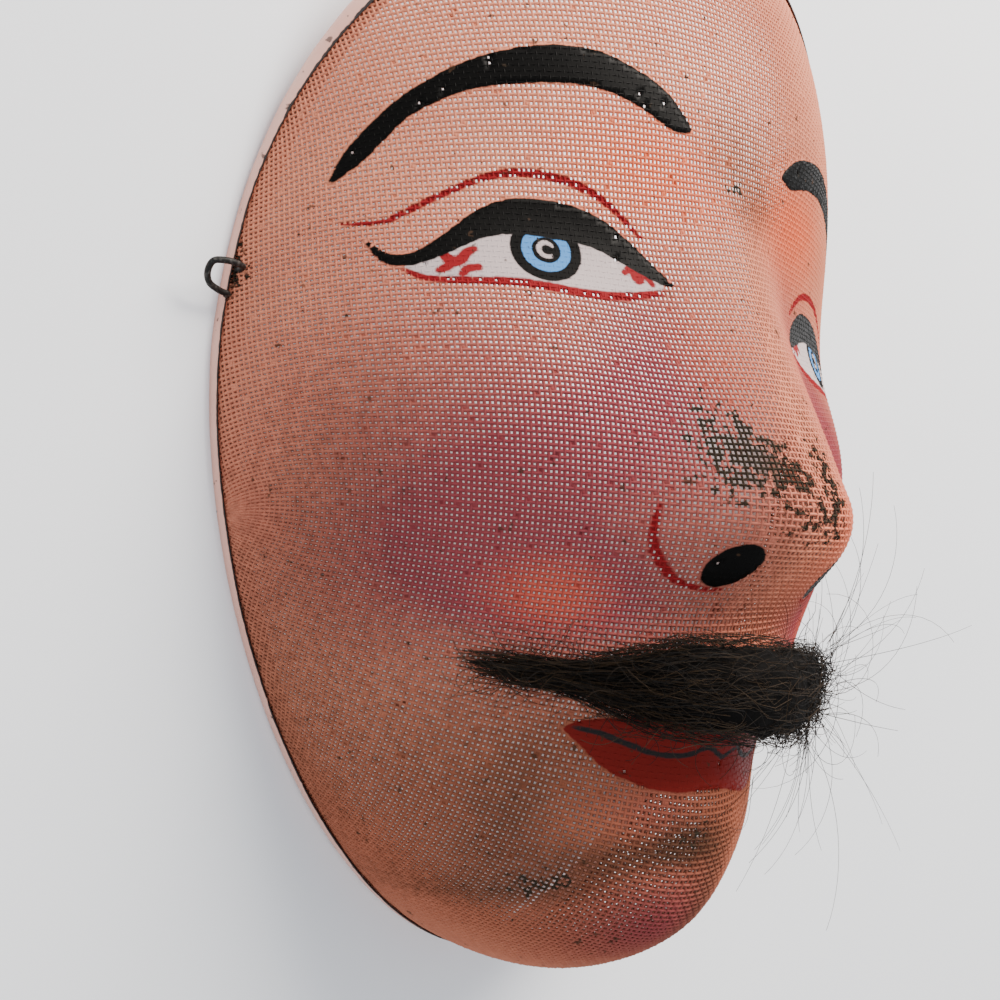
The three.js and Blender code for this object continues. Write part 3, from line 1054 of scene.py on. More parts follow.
@dataclass
class WovenFace:
    """The face's woven wires and the paint that closes some of their openings.

    A section is half the width and half the height of a painted wire in millimetres.
    """

    form: FaceForm
    net: WireNet
    paint: FacePaint
    finish: bpy.types.Material
    across_section: tuple[float, float] = (0.32, 0.27)
    down_section: tuple[float, float] = (0.28, 0.22)
    crimp: float = 0.09
    jitter: float = 0.03
    unevenness: float = 0.06
    worn_share: float = 0.2
    fewest_crossings: int = 3
    clogged: float = 0.02
    clogged_red: float = 0.6
    clogged_features: float = 0.985
    feature_margin: float = 0.1
    lift_margin: float = 0.5
    film: float = 0.12
    painted_film_lift: float = 0.2
    clogged_film_lift: float = 0.0
    iris_reach: float = 7.0
    fine_reach: float = 1.6
    middle: np.ndarray = field(init=False)
    thickness: np.ndarray = field(init=False)

    def __post_init__(self) -> None:
        """Places the sheet's middle, and makes its wires a little uneven."""
        rng = np.random.default_rng(SEED)
        middle = self.net.front - self.net.normals * self.form.sheet / 2
        self.middle = middle + rng.normal(0, self.jitter, middle.shape) * (1 - np.abs(self.net.normals))
        self.thickness = 1 + rng.normal(0, self.unevenness, middle.shape[:2])

    def wires(self, along_rows: bool, keep: np.ndarray) -> tuple[list, list, list]:
        """Works out the middle lines of one set of wires.

        Args:
            along_rows: True for the wires that run across the face.
            keep: which crossings this piece takes.

        Returns:
            The lines in form millimetres, their relative thickness, and the face's normals along them.
        """
        i, j = np.indices(self.net.inside.shape)
        weave = np.where((i + j) % 2 == 0, 1.0, -1.0) * (-1.0 if along_rows else 1.0)
        points = self.middle + self.net.normals * (weave * self.crimp)[..., None]
        wear = together(self.paint.wear, points[..., 0], points[..., 1])
        size = self.thickness * (1 - self.worn_share * np.clip(wear, 0, 1))
        lines, sizes, normals = [], [], []
        count = points.shape[1] if along_rows else points.shape[0]
        for k in range(count):
            pick = (slice(None), k) if along_rows else (k, slice(None))
            edge = np.flatnonzero(np.diff(np.concatenate([[0], keep[pick].astype(int), [0]])))
            for start, stop in zip(edge[::2], edge[1::2]):
                if stop - start < self.fewest_crossings:
                    continue
                lines.append(self.trimmed(points[pick], self.net.flat[pick], start, stop))
                sizes.append(size[pick][start:stop])
                normals.append(self.net.normals[pick][start:stop])
        return lines, sizes, normals

    def trimmed(self, points: np.ndarray, flat: np.ndarray, start: int, stop: int) -> np.ndarray:
        """Takes a stretch of a wire, with each end that reaches the edge of the sheet drawn out to it.

        Args:
            points: the whole wire's points.
            flat: the same points laid out flat.
            start: the stretch's first point.
            stop: the point after its last.

        Returns:
            The stretch's points.
        """
        line = points[start:stop].copy()
        for end, inner, outer in ((0, start, start - 1), (-1, stop - 1, stop)):
            if not 0 <= outer < len(points):
                continue
            runs = [np.hypot(*flat[k]) - self.net.run_to_edge(flat[k]) for k in (inner, outer)]
            if runs[1] < 0:
                continue
            t = -runs[0] / (runs[1] - runs[0] + TINY)
            line[end] = points[inner] + (points[outer] - points[inner]) * min(max(t, 0.0), 1.0)
        return line

    def build(self) -> list[bpy.types.Object]:
        """Makes the wires in four pieces, and the paint films.

        Returns:
            The five pieces.
        """
        inside = self.net.inside
        column, row = np.indices(inside.shape)
        mid_column, mid_row = [int(np.median(np.nonzero(inside)[axis])) for axis in (0, 1)]
        parts = (
            ("wires_down_right", False, inside & (column < mid_column)),
            ("wires_down_left", False, inside & (column >= mid_column)),
            ("wires_across_upper", True, inside & (row >= mid_row)),
            ("wires_across_lower", True, inside & (row < mid_row)),
        )
        made = []
        for name, along_rows, keep in parts:
            lines, sizes, normals = self.wires(along_rows, keep)
            framed = [self.form.to_frame(line) for line in lines]
            section = self.across_section if along_rows else self.down_section
            piece = swept(name, framed, sizes, section[0] * MM)
            self.dress(piece, lines, np.concatenate(sizes)[:, None] * section, np.concatenate(normals))
            made.append(settle(piece, self.finish, "painted_wire_mesh", "wire_mesh_face"))
        return made + [self.films()]

    def dress(self, piece: bpy.types.Object, lines: list, sizes: np.ndarray, normals: np.ndarray) -> None:
        """Sets each ring of the wires square to the face and a little flat, and stores the paint's fields.

        Args:
            piece: the wires.
            lines: their middle lines.
            sizes: the half width and half height at each point.
            normals: the face's normal at each point.
        """
        middles = np.concatenate(lines)
        runs = np.concatenate([np.gradient(line, axis=0) for line in lines])
        side = np.cross(runs, normals)
        side /= np.linalg.norm(side, axis=1, keepdims=True) + TINY
        rise = np.cross(side, runs)
        rise /= np.linalg.norm(rise, axis=1, keepdims=True) + TINY
        turns = np.arange(4) * math.pi / 2
        out = np.outer(sizes[:, 0], np.cos(turns))[..., None] * side[:, None]
        up = np.outer(sizes[:, 1], np.sin(turns))[..., None] * rise[:, None]
        points = (middles[:, None] + out + up).reshape(-1, 3)
        mesh = piece.data
        mesh.vertices.foreach_set("co", self.form.to_frame(points).astype(np.float32).ravel())
        mesh.update()
        face = mesh.polygons[0]
        if (face.center - Vector(self.form.to_frame(middles[0]))).dot(face.normal) < 0:
            mesh.flip_normals()
        self.store(mesh, points, np.tile(np.sin(turns), len(middles)))

    def store(self, mesh: bpy.types.Mesh, points: np.ndarray, front: np.ndarray) -> None:
        """Stores the paint's fields on a mesh.

        Args:
            mesh: the mesh.
            points: its vertices in form millimetres.
            front: from -1 on the inside of the sheet to 1 on its front.
        """
        for name, values in self.paint.fields(self.form, points[:, 0], points[:, 1]).items():
            write_field(mesh, name, values)
        write_field(mesh, "front", front)

    def filled(self) -> np.ndarray:
        """Draws which openings the paint fills: nearly all under the features, and a few elsewhere.

        Returns:
            True for each filled opening, by column and row.
        """
        rng = np.random.default_rng(SEED + 1)
        middle, inside = self.middle, self.net.inside
        corners = middle[:-1, :-1] + middle[1:, 1:] + middle[1:, :-1] + middle[:-1, 1:]
        fields = self.paint.fields(self.form, corners[..., 0] / 4, corners[..., 1] / 4)
        chance = np.where(self.paint.solid(fields) < self.feature_margin, self.clogged_features, self.clogged)
        chance = np.where(fields["red"] < 0, np.maximum(chance, self.clogged_red), chance)
        whole = inside[:-1, :-1] & inside[1:, 1:] & inside[1:, :-1] & inside[:-1, 1:]
        return whole & (rng.random(chance.shape) < chance)

    def films(self) -> bpy.types.Object:
        """Closes the openings that the paint fills, each with a thin skin just behind the wires' tops.

        Returns:
            The skins as one piece.
        """
        filled = self.filled()
        columns, rows = self.net.inside.shape
        skin = bmesh.new()
        bmesh.ops.create_grid(skin, x_segments=columns - 1, y_segments=rows - 1, size=1.0)
        node = {}
        for v in skin.verts:
            node[v] = (round((v.co.x + 1) / 2 * (columns - 1)), round((v.co.y + 1) / 2 * (rows - 1)))
        gone = []
        for f in skin.faces:
            corner = tuple(min(node[v][axis] for v in f.verts) for axis in (0, 1))
            if not filled[corner]:
                gone.append(f)
        fields = self.paint.fields(self.form, self.middle[..., 0], self.middle[..., 1])
        painted = self.paint.solid(fields) < self.lift_margin
        lift = np.where(painted, self.painted_film_lift, self.clogged_film_lift)
        places = self.form.to_frame(self.middle + self.net.normals * lift[..., None])
        for v, (i, j) in node.items():
            v.co = places[i, j]
        bmesh.ops.delete(skin, geom=gone, context="FACES")
        to_iris = fields["iris"] - self.iris_reach
        to_line = np.minimum.reduce([np.abs(fields["mouth"]), np.abs(fields["red"]), to_iris])
        fine = [e for e in skin.edges if all(to_line[node[v]] < self.fine_reach for v in e.verts)]
        bmesh.ops.subdivide_edges(skin, edges=fine, cuts=1, use_grid_fill=True)
        bmesh.ops.recalc_face_normals(skin, faces=skin.faces[:])
        bmesh.ops.solidify(skin, geom=skin.faces[:], thickness=self.film * MM)
        piece = finished("paint_in_the_openings", skin)
        points = self.form.from_frame(vertex_points(piece.data))
        self.store(piece.data, points, np.ones(len(points)))
        return settle(piece, self.finish, "painted_wire_mesh", "wire_mesh_face")


@dataclass
class RimBand:
    """The folded tin strip round the edge, its front leg narrow at the sides and wider on the forehead."""

    form: FaceForm
    net: WireNet
    thickness: float = 0.3
    front_leg: float = 0.95
    forehead_leg: float = 4.6
    widens_from: float = 18.0
    widens_to: float = 96.0
    back_leg: float = 4.0
    front_gap: float = 0.06
    back_gap: float = 0.5
    corner_share: float = 0.35
    inset_of_normals: float = 0.8
    stations: int = 480
    dent: float = 0.05
    dents_round: tuple[int, int] = (23, 5)

    def section(self) -> list[tuple[float, float, float]]:
        """Draws the strip's section.

        Returns:
            Its points in turn: the share of the leg's run, the run beyond the edge, and the stand-off.
        """
        front_in, front_out = self.front_gap, self.front_gap + self.thickness
        back_in = -self.form.sheet - self.back_gap
        back_out = back_in - self.thickness
        foot, fold = -self.form.strip_foot, self.thickness - self.form.strip_foot
        corner = self.corner_share * self.thickness
        return [
            (1.0, 0.0, front_in), (0.5, 0.0, front_in), (0.0, 0.0, front_in), (0.0, fold, front_in),
            (0.0, fold, back_in), (0.0, 0.0, back_in), (-0.5, 0.0, back_in), (-1.0, 0.0, back_in),
            (-1.0, 0.0, back_out), (-0.5, 0.0, back_out), (0.0, 0.0, back_out),
            (0.0, foot + corner, back_out), (0.0, foot, back_out + corner),
            (0.0, foot, front_out - corner), (0.0, foot + corner, front_out),
            (0.0, 0.0, front_out), (0.5, 0.0, front_out), (0.92, 0.0, front_out),
            (1.0, 0.0, front_out - corner),
        ]

    def ring(self, leg: float, beyond: float, offset: float) -> np.ndarray:
        """Works out one line of the strip all the way round.

        Args:
            leg: the share of the leg's run up the sheet, above 0 on the front and below 0 on the back.
            beyond: how far down from the edge, as a length below 0.
            offset: how far off the front of the sheet.

        Returns:
            Points in form millimetres, in turn from the forehead round by the left temple.
        """
        turn = np.linspace(0, 2 * math.pi, self.stations, endpoint=False)
        toward = np.stack([np.sin(turn), np.cos(turn)], -1)
        reach = self.net.run_to_edge(toward)
        edge = self.net.lifted(toward * reach[:, None])
        widened = smooth((edge[:, 1] - self.widens_from) / (self.widens_to - self.widens_from))
        front = self.front_leg + (self.forehead_leg - self.front_leg) * widened
        run = leg * front if leg >= 0 else np.full_like(front, -leg * self.back_leg)
        normals = self.net.normals_of(toward * (reach - np.maximum(run, self.inset_of_normals))[:, None])
        many, few = self.dents_round
        uneven = self.dent * np.sin(turn * many + 2 * np.sin(turn * few)) * (offset > 0)
        stand = offset + uneven * abs(leg)
        points = self.net.lifted(toward * (reach - run)[:, None]) + normals * stand[:, None]
        if beyond < 0:
            points[:, 2] = edge[:, 2] + beyond
        return points

    def build(self, finish: bpy.types.Material) -> bpy.types.Object:
        """Makes the strip as one closed ring.

        Args:
            finish: its material.

        Returns:
            The strip.
        """
        band = bmesh.new()
        run = band.verts.layers.float.new("leg")
        rings = []
        for leg, beyond, offset in self.section():
            ring = bmesh.ops.create_circle(band, segments=self.stations, radius=1.0)["verts"]
            for v, place in zip(ring, self.form.to_frame(self.ring(leg, beyond, offset))):
                v.co = place
                v[run] = leg
            rings.append(list(dict.fromkeys(e for v in ring for e in v.link_edges)))
        for a, b in zip(rings, rings[1:] + rings[:1]):
            bmesh.ops.bridge_loops(band, edges=a + b)
        bmesh.ops.recalc_face_normals(band, faces=band.faces[:])
        return settle(finished("rim_strip", band), finish, "painted_tin_strip", "rim_band")


class Lay(Enum):
    """How a hair of the moustache lies."""

    COMBED = "combed"
    CURLED = "curled"
    STRAY = "stray"


@dataclass
class Moustache:
    """The bundle of hair on the upper lip, with its loose hairs.

    A length is in form millimetres, but a combed hair's is its share of half the bundle.
    """

    form: FaceForm
    half_length: float = 47.5
    y: float = -48.3
    tip_y: float = -49.8
    half_height: float = 7.6
    tip_half_height: float = 2.6
    thickness: float = 9.0
    tip_thickness: float = 3.0
    full_to: float = 0.3
    thin_from: float = 0.72
    tip_rounding: float = 12.0
    gap: float = 0.35
    combed: int = 1750
    combed_points: int = 8
    combed_length: tuple[float, float] = (0.16, 0.5)
    waviness: float = 0.13
    fuzz: float = 0.75
    curled: int = 950
    curled_points: int = 9
    curl_length: tuple[float, float] = (4.0, 13.0)
    curl_turn: float = 2.2
    curl_flatness: float = 0.7
    curls_at_left: float = 0.35
    most_sunk: float = 2.5
    strays: int = 90
    stray_points: int = 15
    stray_length: tuple[float, float] = (12.0, 44.0)
    short_stray_length: tuple[float, float] = (5.0, 14.0)
    stray_turn: float = 1.5
    strays_at_left: float = 0.75
    clearance: float = 0.4
    hair_radius: float = 0.07
    hair_end: float = 0.55
    core_around: int = 24
    core_along: int = 48
    core_share: tuple[float, float, float] = (0.93, 0.8, 0.38)
    core_depth: float = 0.45
    lump: float = 0.06

    def place(self, along: np.ndarray, up: np.ndarray, out: np.ndarray) -> np.ndarray:
        """Finds points in the bundle.

        Args:
            along: from -1 at the right tip to 1 at the left tip.
            up: from -1 at its lower edge to 1 at its upper edge.
            out: from 0 against the lip to 1 at its front.

        Returns:
            Points in form millimetres.
        """
        full = 1 - smooth((np.abs(along) - self.full_to) / (self.thin_from - self.full_to))
        close = np.sqrt(np.maximum(0.05, 1 - np.abs(along) ** self.tip_rounding))
        half = (self.tip_half_height + (self.half_height - self.tip_half_height) * full) * close
        thick = self.tip_thickness + (self.thickness - self.tip_thickness) * full
        x = along * self.half_length
        y = self.tip_y + (self.y - self.tip_y) * full + half * up
        stand = self.gap + thick * (0.5 + (out - 0.5) * close)
        return self.form.point(x, y) + self.form.normal(x, y) * stand[..., None]

    def combed_hairs(self, rng: np.random.Generator) -> np.ndarray:
        """Draws hairs that run from the middle out to the tips, waving a little, their ends standing off.

        Args:
            rng: the seeded source of chance.

        Returns:
            Points in form millimetres, by hair and place along it.
        """
        each = (self.combed, 1)
        t = np.linspace(0, 1, self.combed_points)[None]
        side = rng.choice((-1.0, 1.0), each)
        length = rng.uniform(*self.combed_length, each)
        start = rng.uniform(-0.12, 1.0, each) * (0.97 - length)
        along = side * (start + length * t)
        turn, far = rng.uniform(0, 2 * math.pi, each), np.sqrt(rng.uniform(0.15, 1.0, each))
        waves = []
        for _ in range(2):
            rate, phase = rng.uniform(3, 10, each), rng.uniform(0, 2 * math.pi, each)
            waves.append(rng.normal(0, self.waviness, each) * np.sin(t * rate + phase))
        up = np.clip(far * np.cos(turn) + waves[0], -1.05, 1.05)
        out = np.clip(0.5 + 0.5 * far * np.sin(turn) + waves[1], 0.02, 1.05)
        loosened = rng.normal(0, self.fuzz, (self.combed, 1, 3)) * (t**2)[..., None]
        loosened[..., 2] = np.abs(loosened[..., 2])
        return self.place(along, up, out) + loosened

    def curled_hairs(self, rng: np.random.Generator) -> np.ndarray:
        """Draws hairs that curl over the front of the bundle in every direction.

        Args:
            rng: the seeded source of chance.

        Returns:
            Points in form millimetres, by hair and place along it.
        """
        each = (self.curled, 1)
        t = np.linspace(0, 1, self.curled_points)[None]
        left = rng.random(each) < self.curls_at_left
        along = np.where(left, rng.uniform(0.45, 0.95, each), rng.uniform(-0.9, 0.9, each))
        up, out = rng.uniform(-0.9, 0.9, each), rng.uniform(0.55, 1.0, each)
        root = self.place(along, up, out)
        heading, bend = rng.uniform(0, 2 * math.pi, each), rng.normal(0, self.curl_turn, each)
        length = rng.uniform(*self.curl_length, each)
        angle = heading + bend * t
        step = length / (t.shape[1] - 1)
        x = np.cumsum(np.cos(angle) * step, 1)
        y = np.cumsum(np.sin(angle) * step, 1) * self.curl_flatness
        lift = np.sin(math.pi * t) * rng.uniform(0.2, 1.6, each)
        x, y = root[..., 0] + x, root[..., 1] + y
        sunk = self.form.height(x, y) - self.form.height(root[..., 0], root[..., 1])
        z = root[..., 2] + lift + np.clip(sunk, -self.most_sunk, self.most_sunk)
        return np.stack([x, y, z], -1)

    def stray_hairs(self, rng: np.random.Generator) -> np.ndarray:
        """Draws long hairs that have come loose, most of them at the left end.

        Args:
            rng: the seeded source of chance.

        Returns:
            Points in form millimetres, by hair and place along it.
        """
        each = (self.strays, 1)
        t = np.linspace(0, 1, self.stray_points)[None]
        at_end = rng.random(each) < self.strays_at_left
        along = np.where(at_end, rng.uniform(0.1, 0.75, each), rng.uniform(-0.9, 0.6, each))
        root = self.place(along, rng.uniform(-0.8, 0.9, each), np.full(each, 0.8))
        long, short = rng.uniform(*self.stray_length, each), rng.uniform(*self.short_stray_length, each)
        length = np.where(at_end, long, short)
        heading, bend = rng.uniform(-2.2, 1.4, each), rng.normal(0, self.stray_turn, each)
        angle = heading + bend * t
        step = length / (t.shape[1] - 1)
        x = root[..., 0] + np.cumsum(np.cos(angle) * step, 1)
        y = root[..., 1] + np.cumsum(np.sin(angle) * step, 1)
        climb, sag = rng.uniform(-0.1, 0.5, each), rng.uniform(0.1, 0.4, each)
        rise = root[..., 2] + length * (climb * t - sag * t**2)
        ground = self.form.height(x, y) * (self.form.share(x, y) < 1)
        return np.stack([x, y, np.maximum(rise, ground + self.clearance)], -1)

    def hairs(self, lay: Lay) -> bpy.types.Object:
        """Makes the hairs of one lay.

        Args:
            lay: which hairs.

        Returns:
            The hairs as one mesh, each with its own shade.
        """
        rng = np.random.default_rng(SEED + 2 + list(Lay).index(lay))
        makers = {Lay.COMBED: self.combed_hairs, Lay.CURLED: self.curled_hairs, Lay.STRAY: self.stray_hairs}
        points = makers[lay](rng)
        sizes = [np.linspace(1, self.hair_end, points.shape[1])] * len(points)
        name = f"moustache_{lay.value}_hairs"
        piece = swept(name, list(self.form.to_frame(points)), sizes, self.hair_radius * MM)
        shade = rng.random(len(points)) ** 2
        write_field(piece.data, "shade", np.repeat(shade, points.shape[1] * 4))
        return piece

    def core(self) -> bpy.types.Object:
        """Makes the dense inside of the bundle, which the hairs cover.

        Returns:
            The piece, all of it of the deepest shade.
        """
        core = bmesh.new()
        bmesh.ops.create_uvsphere(core, u_segments=self.core_around, v_segments=self.core_along, radius=1.0)
        long, high, deep = self.core_share
        for v in core.verts:
            up, out = v.co.x * high, self.core_depth + deep * v.co.y
            lump = 1 + self.lump * math.sin(31 * v.co.z + 5 * v.co.x) * math.hypot(v.co.x, v.co.y)
            place = self.place(np.array(v.co.z * long), np.array(up * lump), np.array(out * lump))
            v.co = Vector(self.form.to_frame(place))
        bmesh.ops.recalc_face_normals(core, faces=core.faces[:])
        if core.calc_volume(signed=True) < 0:
            bmesh.ops.reverse_faces(core, faces=core.faces[:])
        piece = finished("moustache_core", core)
        write_field(piece.data, "shade", np.zeros(len(piece.data.vertices)))
        return piece

    def build(self, hair: bpy.types.Material, dense: bpy.types.Material) -> list[bpy.types.Object]:
        """Makes the bundle's four pieces, its hairs of one material and its dense core of another."""
        made = [settle(self.core(), dense, "dark_hair", "moustache")]
        return made + [settle(self.hairs(lay), hair, "dark_hair", "moustache") for lay in Lay]


@dataclass
class StrapLoop:
    """A bent wire loop for a tie, at one temple.

    The course is the shares of its reach out, of its half span along the edge and of its half height.
    """

    form: FaceForm
    side: int
    node: str
    y: float = 7.2
    reach: float = 6.1
    half_span: float = 2.2
    middle_height: float = 4.6
    half_height: float = 2.0
    wire_radius: float = 0.57
    cuts: int = 6
    rounding: int = 4
    course: tuple[tuple[float, float, float], ...] = (
        (-0.2, 0.9, -1.9), (-0.12, 0.95, -0.9), (0.02, 1, 0.2), (0.3, 1, 0.7), (0.6, 1, 0.8),
        (0.96, 0.75, 0.5), (1, -0.1, 0), (0.8, -0.8, -0.5), (0.4, -1.1, -0.9), (0.14, -1.15, -1.1),
        (0.05, -1.15, -1.5), (0, -1.15, -2),
    )

    def build(self, finish: bpy.types.Material) -> bpy.types.Object:
        """Makes the loop.

        Args:
            finish: its material.

        Returns:
            The loop.
        """
        n = self.form.forehead_squareness
        edge = self.form.half_width * (1 - (self.y / self.form.forehead_reach) ** n) ** (1 / n)
        points = []
        for out, along, up in self.course:
            x = self.side * (edge + out * self.reach)
            points.append((x, self.y + along * self.half_span, self.middle_height + up * self.half_height))
        line = self.form.to_frame(eased(np.array(points), self.cuts))
        piece = swept(self.node + "_wire", [line], [np.ones(len(line))], self.wire_radius * MM, self.rounding)
        return settle(piece, finish, "dark_iron_wire", self.node)


@dataclass(frozen=True)
class DarkHair:
    """Real hair, brown black and dull with dust, so it gives the eye little shine.

    Each hair has its own shade. The streaks are drawn wider than a hair, to show at this distance.
    """

    deep: str = "#070504"
    brown: str = "#46341f"
    streak_mm: float = 0.6
    specular: float = 0.15
    relief: float = 0.6
    relief_mm: float = 0.2

    def build(self, name: str, roughness: float) -> bpy.types.Material:
        """Makes the material.

        Args:
            name: the material's name.
            roughness: how dull it is.

        Returns:
            The material, which reads each hair's shade.
        """
        material, tree, shader, place = begin_material(name)
        streak = add(tree, "TexNoise", {"Vector": place, "Scale": 1 / (self.streak_mm * MM), "Detail": 2.0})
        shade = add(tree, "Attribute", {}, attribute_name="shade").outputs["Fac"]
        mask = add(tree, "Math", {0: shade, 1: streak.outputs["Fac"]}, operation="MULTIPLY").outputs[0]
        colour = add(tree, "Mix", {0: mask, 6: linear(self.deep), 7: linear(self.brown)}, data_type="RGBA")
        tree.links.new(colour.outputs[2], shader.inputs["Base Color"])
        shader.inputs["Roughness"].default_value = roughness
        shader.inputs["Specular IOR Level"].default_value = self.specular
        marks = {"Height": streak.outputs["Fac"], "Strength": self.relief, "Distance": self.relief_mm * MM}
        tree.links.new(add(tree, "Bump", marks).outputs["Normal"], shader.inputs["Normal"])
        return material


@dataclass(frozen=True)
class PaintedTin:
    """Tinplate under a brushed coat of the flesh paint.

    It gives the eye a soft sheen, uneven in tone, with small scuffs and dirt along its inner edge.
    """

    paint: str = "#dc9c88"
    pale: str = "#e6b5a2"
    scuff: str = "#6e4f44"
    seam: str = "#1d1412"
    mottle_mm: float = 9.0
    scuff_mm: float = 2.2
    scuff_range: tuple[float, float] = (0.66, 0.7)
    seam_range: tuple[float, float] = (1.08, 1.16)
    seam_wander: float = 0.5
    roughness: tuple[float, float] = (0.32, 0.6)
    relief: float = 0.2
    relief_mm: float = 0.2

    def build(self) -> bpy.types.Material:
        """Makes the material.

        Returns:
            The material, which reads how far up the strip's leg each point is.
        """
        material, tree, shader, place = begin_material("flesh_paint_on_tinplate")
        mottle = add(tree, "TexNoise", {"Vector": place, "Scale": 1 / (self.mottle_mm * MM), "Detail": 4.0})
        grain = add(tree, "TexNoise", {"Vector": place, "Scale": 1 / (self.scuff_mm * MM), "Detail": 6.0})
        leg = add(tree, "Attribute", {}, attribute_name="leg").outputs["Fac"]
        wander = {0: grain.outputs["Fac"], 1: self.seam_wander, 2: leg}
        seam = add(tree, "Math", wander, operation="MULTIPLY_ADD").outputs[0]
        coat = {0: mottle.outputs["Fac"], 6: linear(self.paint), 7: linear(self.pale)}
        colour = add(tree, "Mix", coat, data_type="RGBA").outputs[2]
        layers = ((grain.outputs["Fac"], self.scuff_range, self.scuff), (seam, self.seam_range, self.seam))
        for value, (low, high), shade in layers:
            mask = add(tree, "MapRange", {"Value": value, "From Min": low, "From Max": high}).outputs[0]
            colour = add(tree, "Mix", {0: mask, 6: colour, 7: linear(shade)}, data_type="RGBA").outputs[2]
        tree.links.new(colour, shader.inputs["Base Color"])
        sheen = {"Value": grain.outputs["Fac"], "To Min": self.roughness[0], "To Max": self.roughness[1]}
        tree.links.new(add(tree, "MapRange", sheen).outputs[0], shader.inputs["Roughness"])
        marks = {"Height": grain.outputs["Fac"], "Strength": self.relief, "Distance": self.relief_mm * MM}
        tree.links.new(add(tree, "Bump", marks).outputs["Normal"], shader.inputs["Normal"])
        return material


@dataclass(frozen=True)
class AnnealedWire:
    """Soft iron wire that was annealed and left bare.

    Its fire scale gives the eye a dull grey black, rubbed brighter here and there. The scale's grain is
    drawn coarser than it is, to show on so thin a wire.
    """

    scale: str = "#242322"
    rubbed: str = "#5a5754"
    grain_mm: float = 0.7
    rubbed_range: tuple[float, float] = (0.5, 0.75)
    metallic: float = 0.8
    roughness: tuple[float, float] = (0.4, 0.7)
    relief: float = 0.5
    relief_mm: float = 0.1

    def build(self) -> bpy.types.Material:
        """Makes the material.

        Returns:
            The material.
        """
        material, tree, shader, place = begin_material("annealed_iron_wire")
        grain = add(tree, "TexNoise", {"Vector": place, "Scale": 1 / (self.grain_mm * MM), "Detail": 5.0})
        low, high = self.rubbed_range
        worn = add(tree, "MapRange", {"Value": grain.outputs["Fac"], "From Min": low, "From Max": high})
        shade = {0: worn.outputs[0], 6: linear(self.scale), 7: linear(self.rubbed)}
        tree.links.new(add(tree, "Mix", shade, data_type="RGBA").outputs[2], shader.inputs["Base Color"])
        shader.inputs["Metallic"].default_value = self.metallic
        sheen = {"Value": grain.outputs["Fac"], "To Min": self.roughness[0], "To Max": self.roughness[1]}
        tree.links.new(add(tree, "MapRange", sheen).outputs[0], shader.inputs["Roughness"])
        marks = {"Height": grain.outputs["Fac"], "Strength": self.relief, "Distance": self.relief_mm * MM}
        tree.links.new(add(tree, "Bump", marks).outputs["Normal"], shader.inputs["Normal"])
        return material


@dataclass(frozen=True)
class PaleTable:
    """A matt white laminate, smooth and just uneven in tone, so it shows only the mask's shadow."""

    white: str = "#f7f9fb"
    shade: str = "#eef1f5"
    cloud_mm: float = 120.0
    roughness: float = 0.65

    def build(self) -> bpy.types.Material:
        """Makes the material.

        Returns:
            The material.
        """
        material, tree, shader, place = begin_material("matt_white_laminate")
        cloud = add(tree, "TexNoise", {"Vector": place, "Scale": 1 / (self.cloud_mm * MM), "Detail": 3.0})
        tone = {0: cloud.outputs["Fac"], 6: linear(self.white), 7: linear(self.shade)}
        tree.links.new(add(tree, "Mix", tone, data_type="RGBA").outputs[2], shader.inputs["Base Color"])
        shader.inputs["Roughness"].default_value = self.roughness
        return material


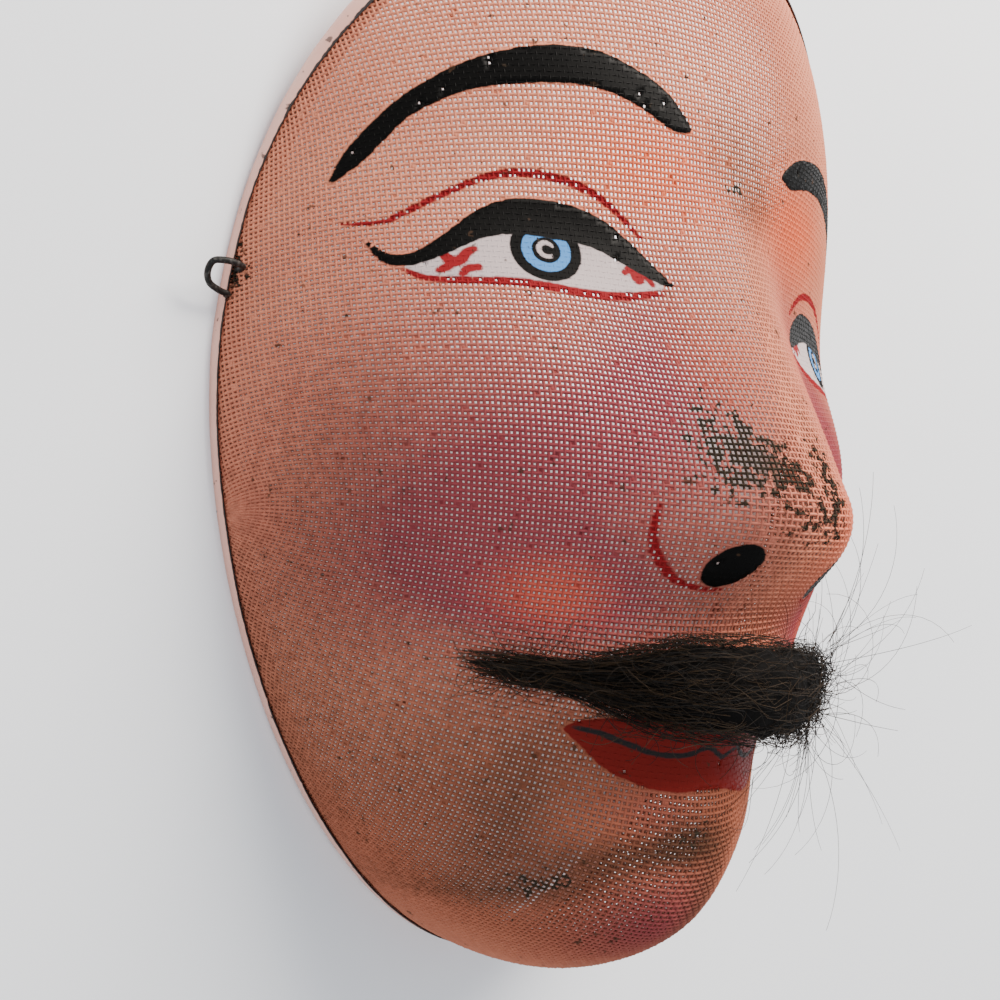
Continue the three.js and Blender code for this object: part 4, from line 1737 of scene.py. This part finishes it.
@dataclass(frozen=True)
class Studio:
    """The table, the lights and the camera.

    The camera's eye and target are in form millimetres. The table and the lights are in metres, in the
    frame, and the lights' power is in watts.
    """

    form: FaceForm
    eye: tuple[float, float, float] = (-183.8, -26.8, 194.2)
    target: tuple[float, float, float] = (-33.6, -22.4, 25.0)
    roll: float = 0.155
    focal_share: float = 1.253
    sensor_mm: float = 36.0
    nearest: float = 0.01
    half_table: float = 1.5
    sky: str = "#e9eef5"
    sky_strength: float = 1.15
    window: str = "#fff6ec"
    window_power: float = 30.0
    window_size: float = 0.7
    window_place: tuple[float, float, float] = (0.32, 0.8, 0.62)
    window_aim: tuple[float, float, float] = (0.0, 0.0, 0.03)
    glow_power: float = 0.045
    glow_size: tuple[float, float] = (0.075, 0.065)
    glow_place: tuple[float, float, float] = (0.012, 0.042, 0.024)

    def camera(self) -> None:
        """Sets the camera at the photograph's viewing angle."""
        data = bpy.data.cameras.new("view")
        data.sensor_width = self.sensor_mm
        data.lens = self.focal_share * self.sensor_mm
        data.clip_start = self.nearest
        view = new_object("view", data)
        eye, target = Vector(self.eye), Vector(self.target)
        ahead = (target - eye).normalized()
        level = ahead.cross(Vector((0, 1, 0))).normalized()
        upright = level.cross(ahead)
        right = math.cos(self.roll) * level + math.sin(self.roll) * upright
        up = -math.sin(self.roll) * level + math.cos(self.roll) * upright
        place = Vector(self.form.to_frame(np.array(self.eye)))
        view.matrix_world = Matrix.Translation(place) @ Matrix((right, up, -ahead)).transposed().to_4x4()
        bpy.context.scene.camera = view

    def lights(self) -> None:
        """Lights the room evenly, with a window behind the forehead and a glow in the hollow.

        The glow stands for the light that falls on the table under the mask, which shows white in the
        openings round the eye.
        """
        world = bpy.data.worlds.new("room")
        world.use_nodes = True
        background = world.node_tree.nodes["Background"]
        background.inputs["Color"].default_value = linear(self.sky)
        background.inputs["Strength"].default_value = self.sky_strength
        bpy.context.scene.world = world
        lamp = bpy.data.lights.new("window", "AREA")
        lamp.energy = self.window_power
        lamp.size = self.window_size
        lamp.color = linear(self.window)[:3]
        window = new_object("window", lamp)
        window.location = self.window_place
        ahead = Vector(self.window_aim) - window.location
        window.rotation_euler = ahead.to_track_quat("-Z", "Y").to_euler()
        glow = bpy.data.lights.new("light_through_the_mesh", "AREA")
        glow.shape = "ELLIPSE"
        glow.size, glow.size_y = self.glow_size
        glow.energy = self.glow_power
        new_object("light_through_the_mesh", glow).location = self.glow_place

    def build(self) -> None:
        """Makes the table, the lights and the camera."""
        table = bmesh.new()
        bmesh.ops.create_grid(table, x_segments=1, y_segments=1, size=self.half_table)
        floor = finished("table", table, rounded=False)
        floor.data.materials.append(PaleTable().build())
        self.lights()
        self.camera()


def main() -> None:
    """Builds the mask and its surroundings in order."""
    logging.basicConfig(level=logging.INFO, format="%(message)s")
    form = FaceForm()
    net = WireNet(form)
    log.info("net of %d by %d wires", *net.inside.shape)
    WovenFace(form, net, FacePaint(), OilPaintOnWire().build()).build()
    RimBand(form, net).build(PaintedTin().build())
    wire = AnnealedWire().build()
    StrapLoop(form, -1, "strap_loop_right").build(wire)
    StrapLoop(form, 1, "strap_loop_left").build(wire)
    hair = DarkHair()
    Moustache(form).build(hair.build("dusty_dark_hair", 0.6), hair.build("hair_deep_in_the_bundle", 0.9))
    Studio(form).build()


if __name__ == "__main__":
    main()
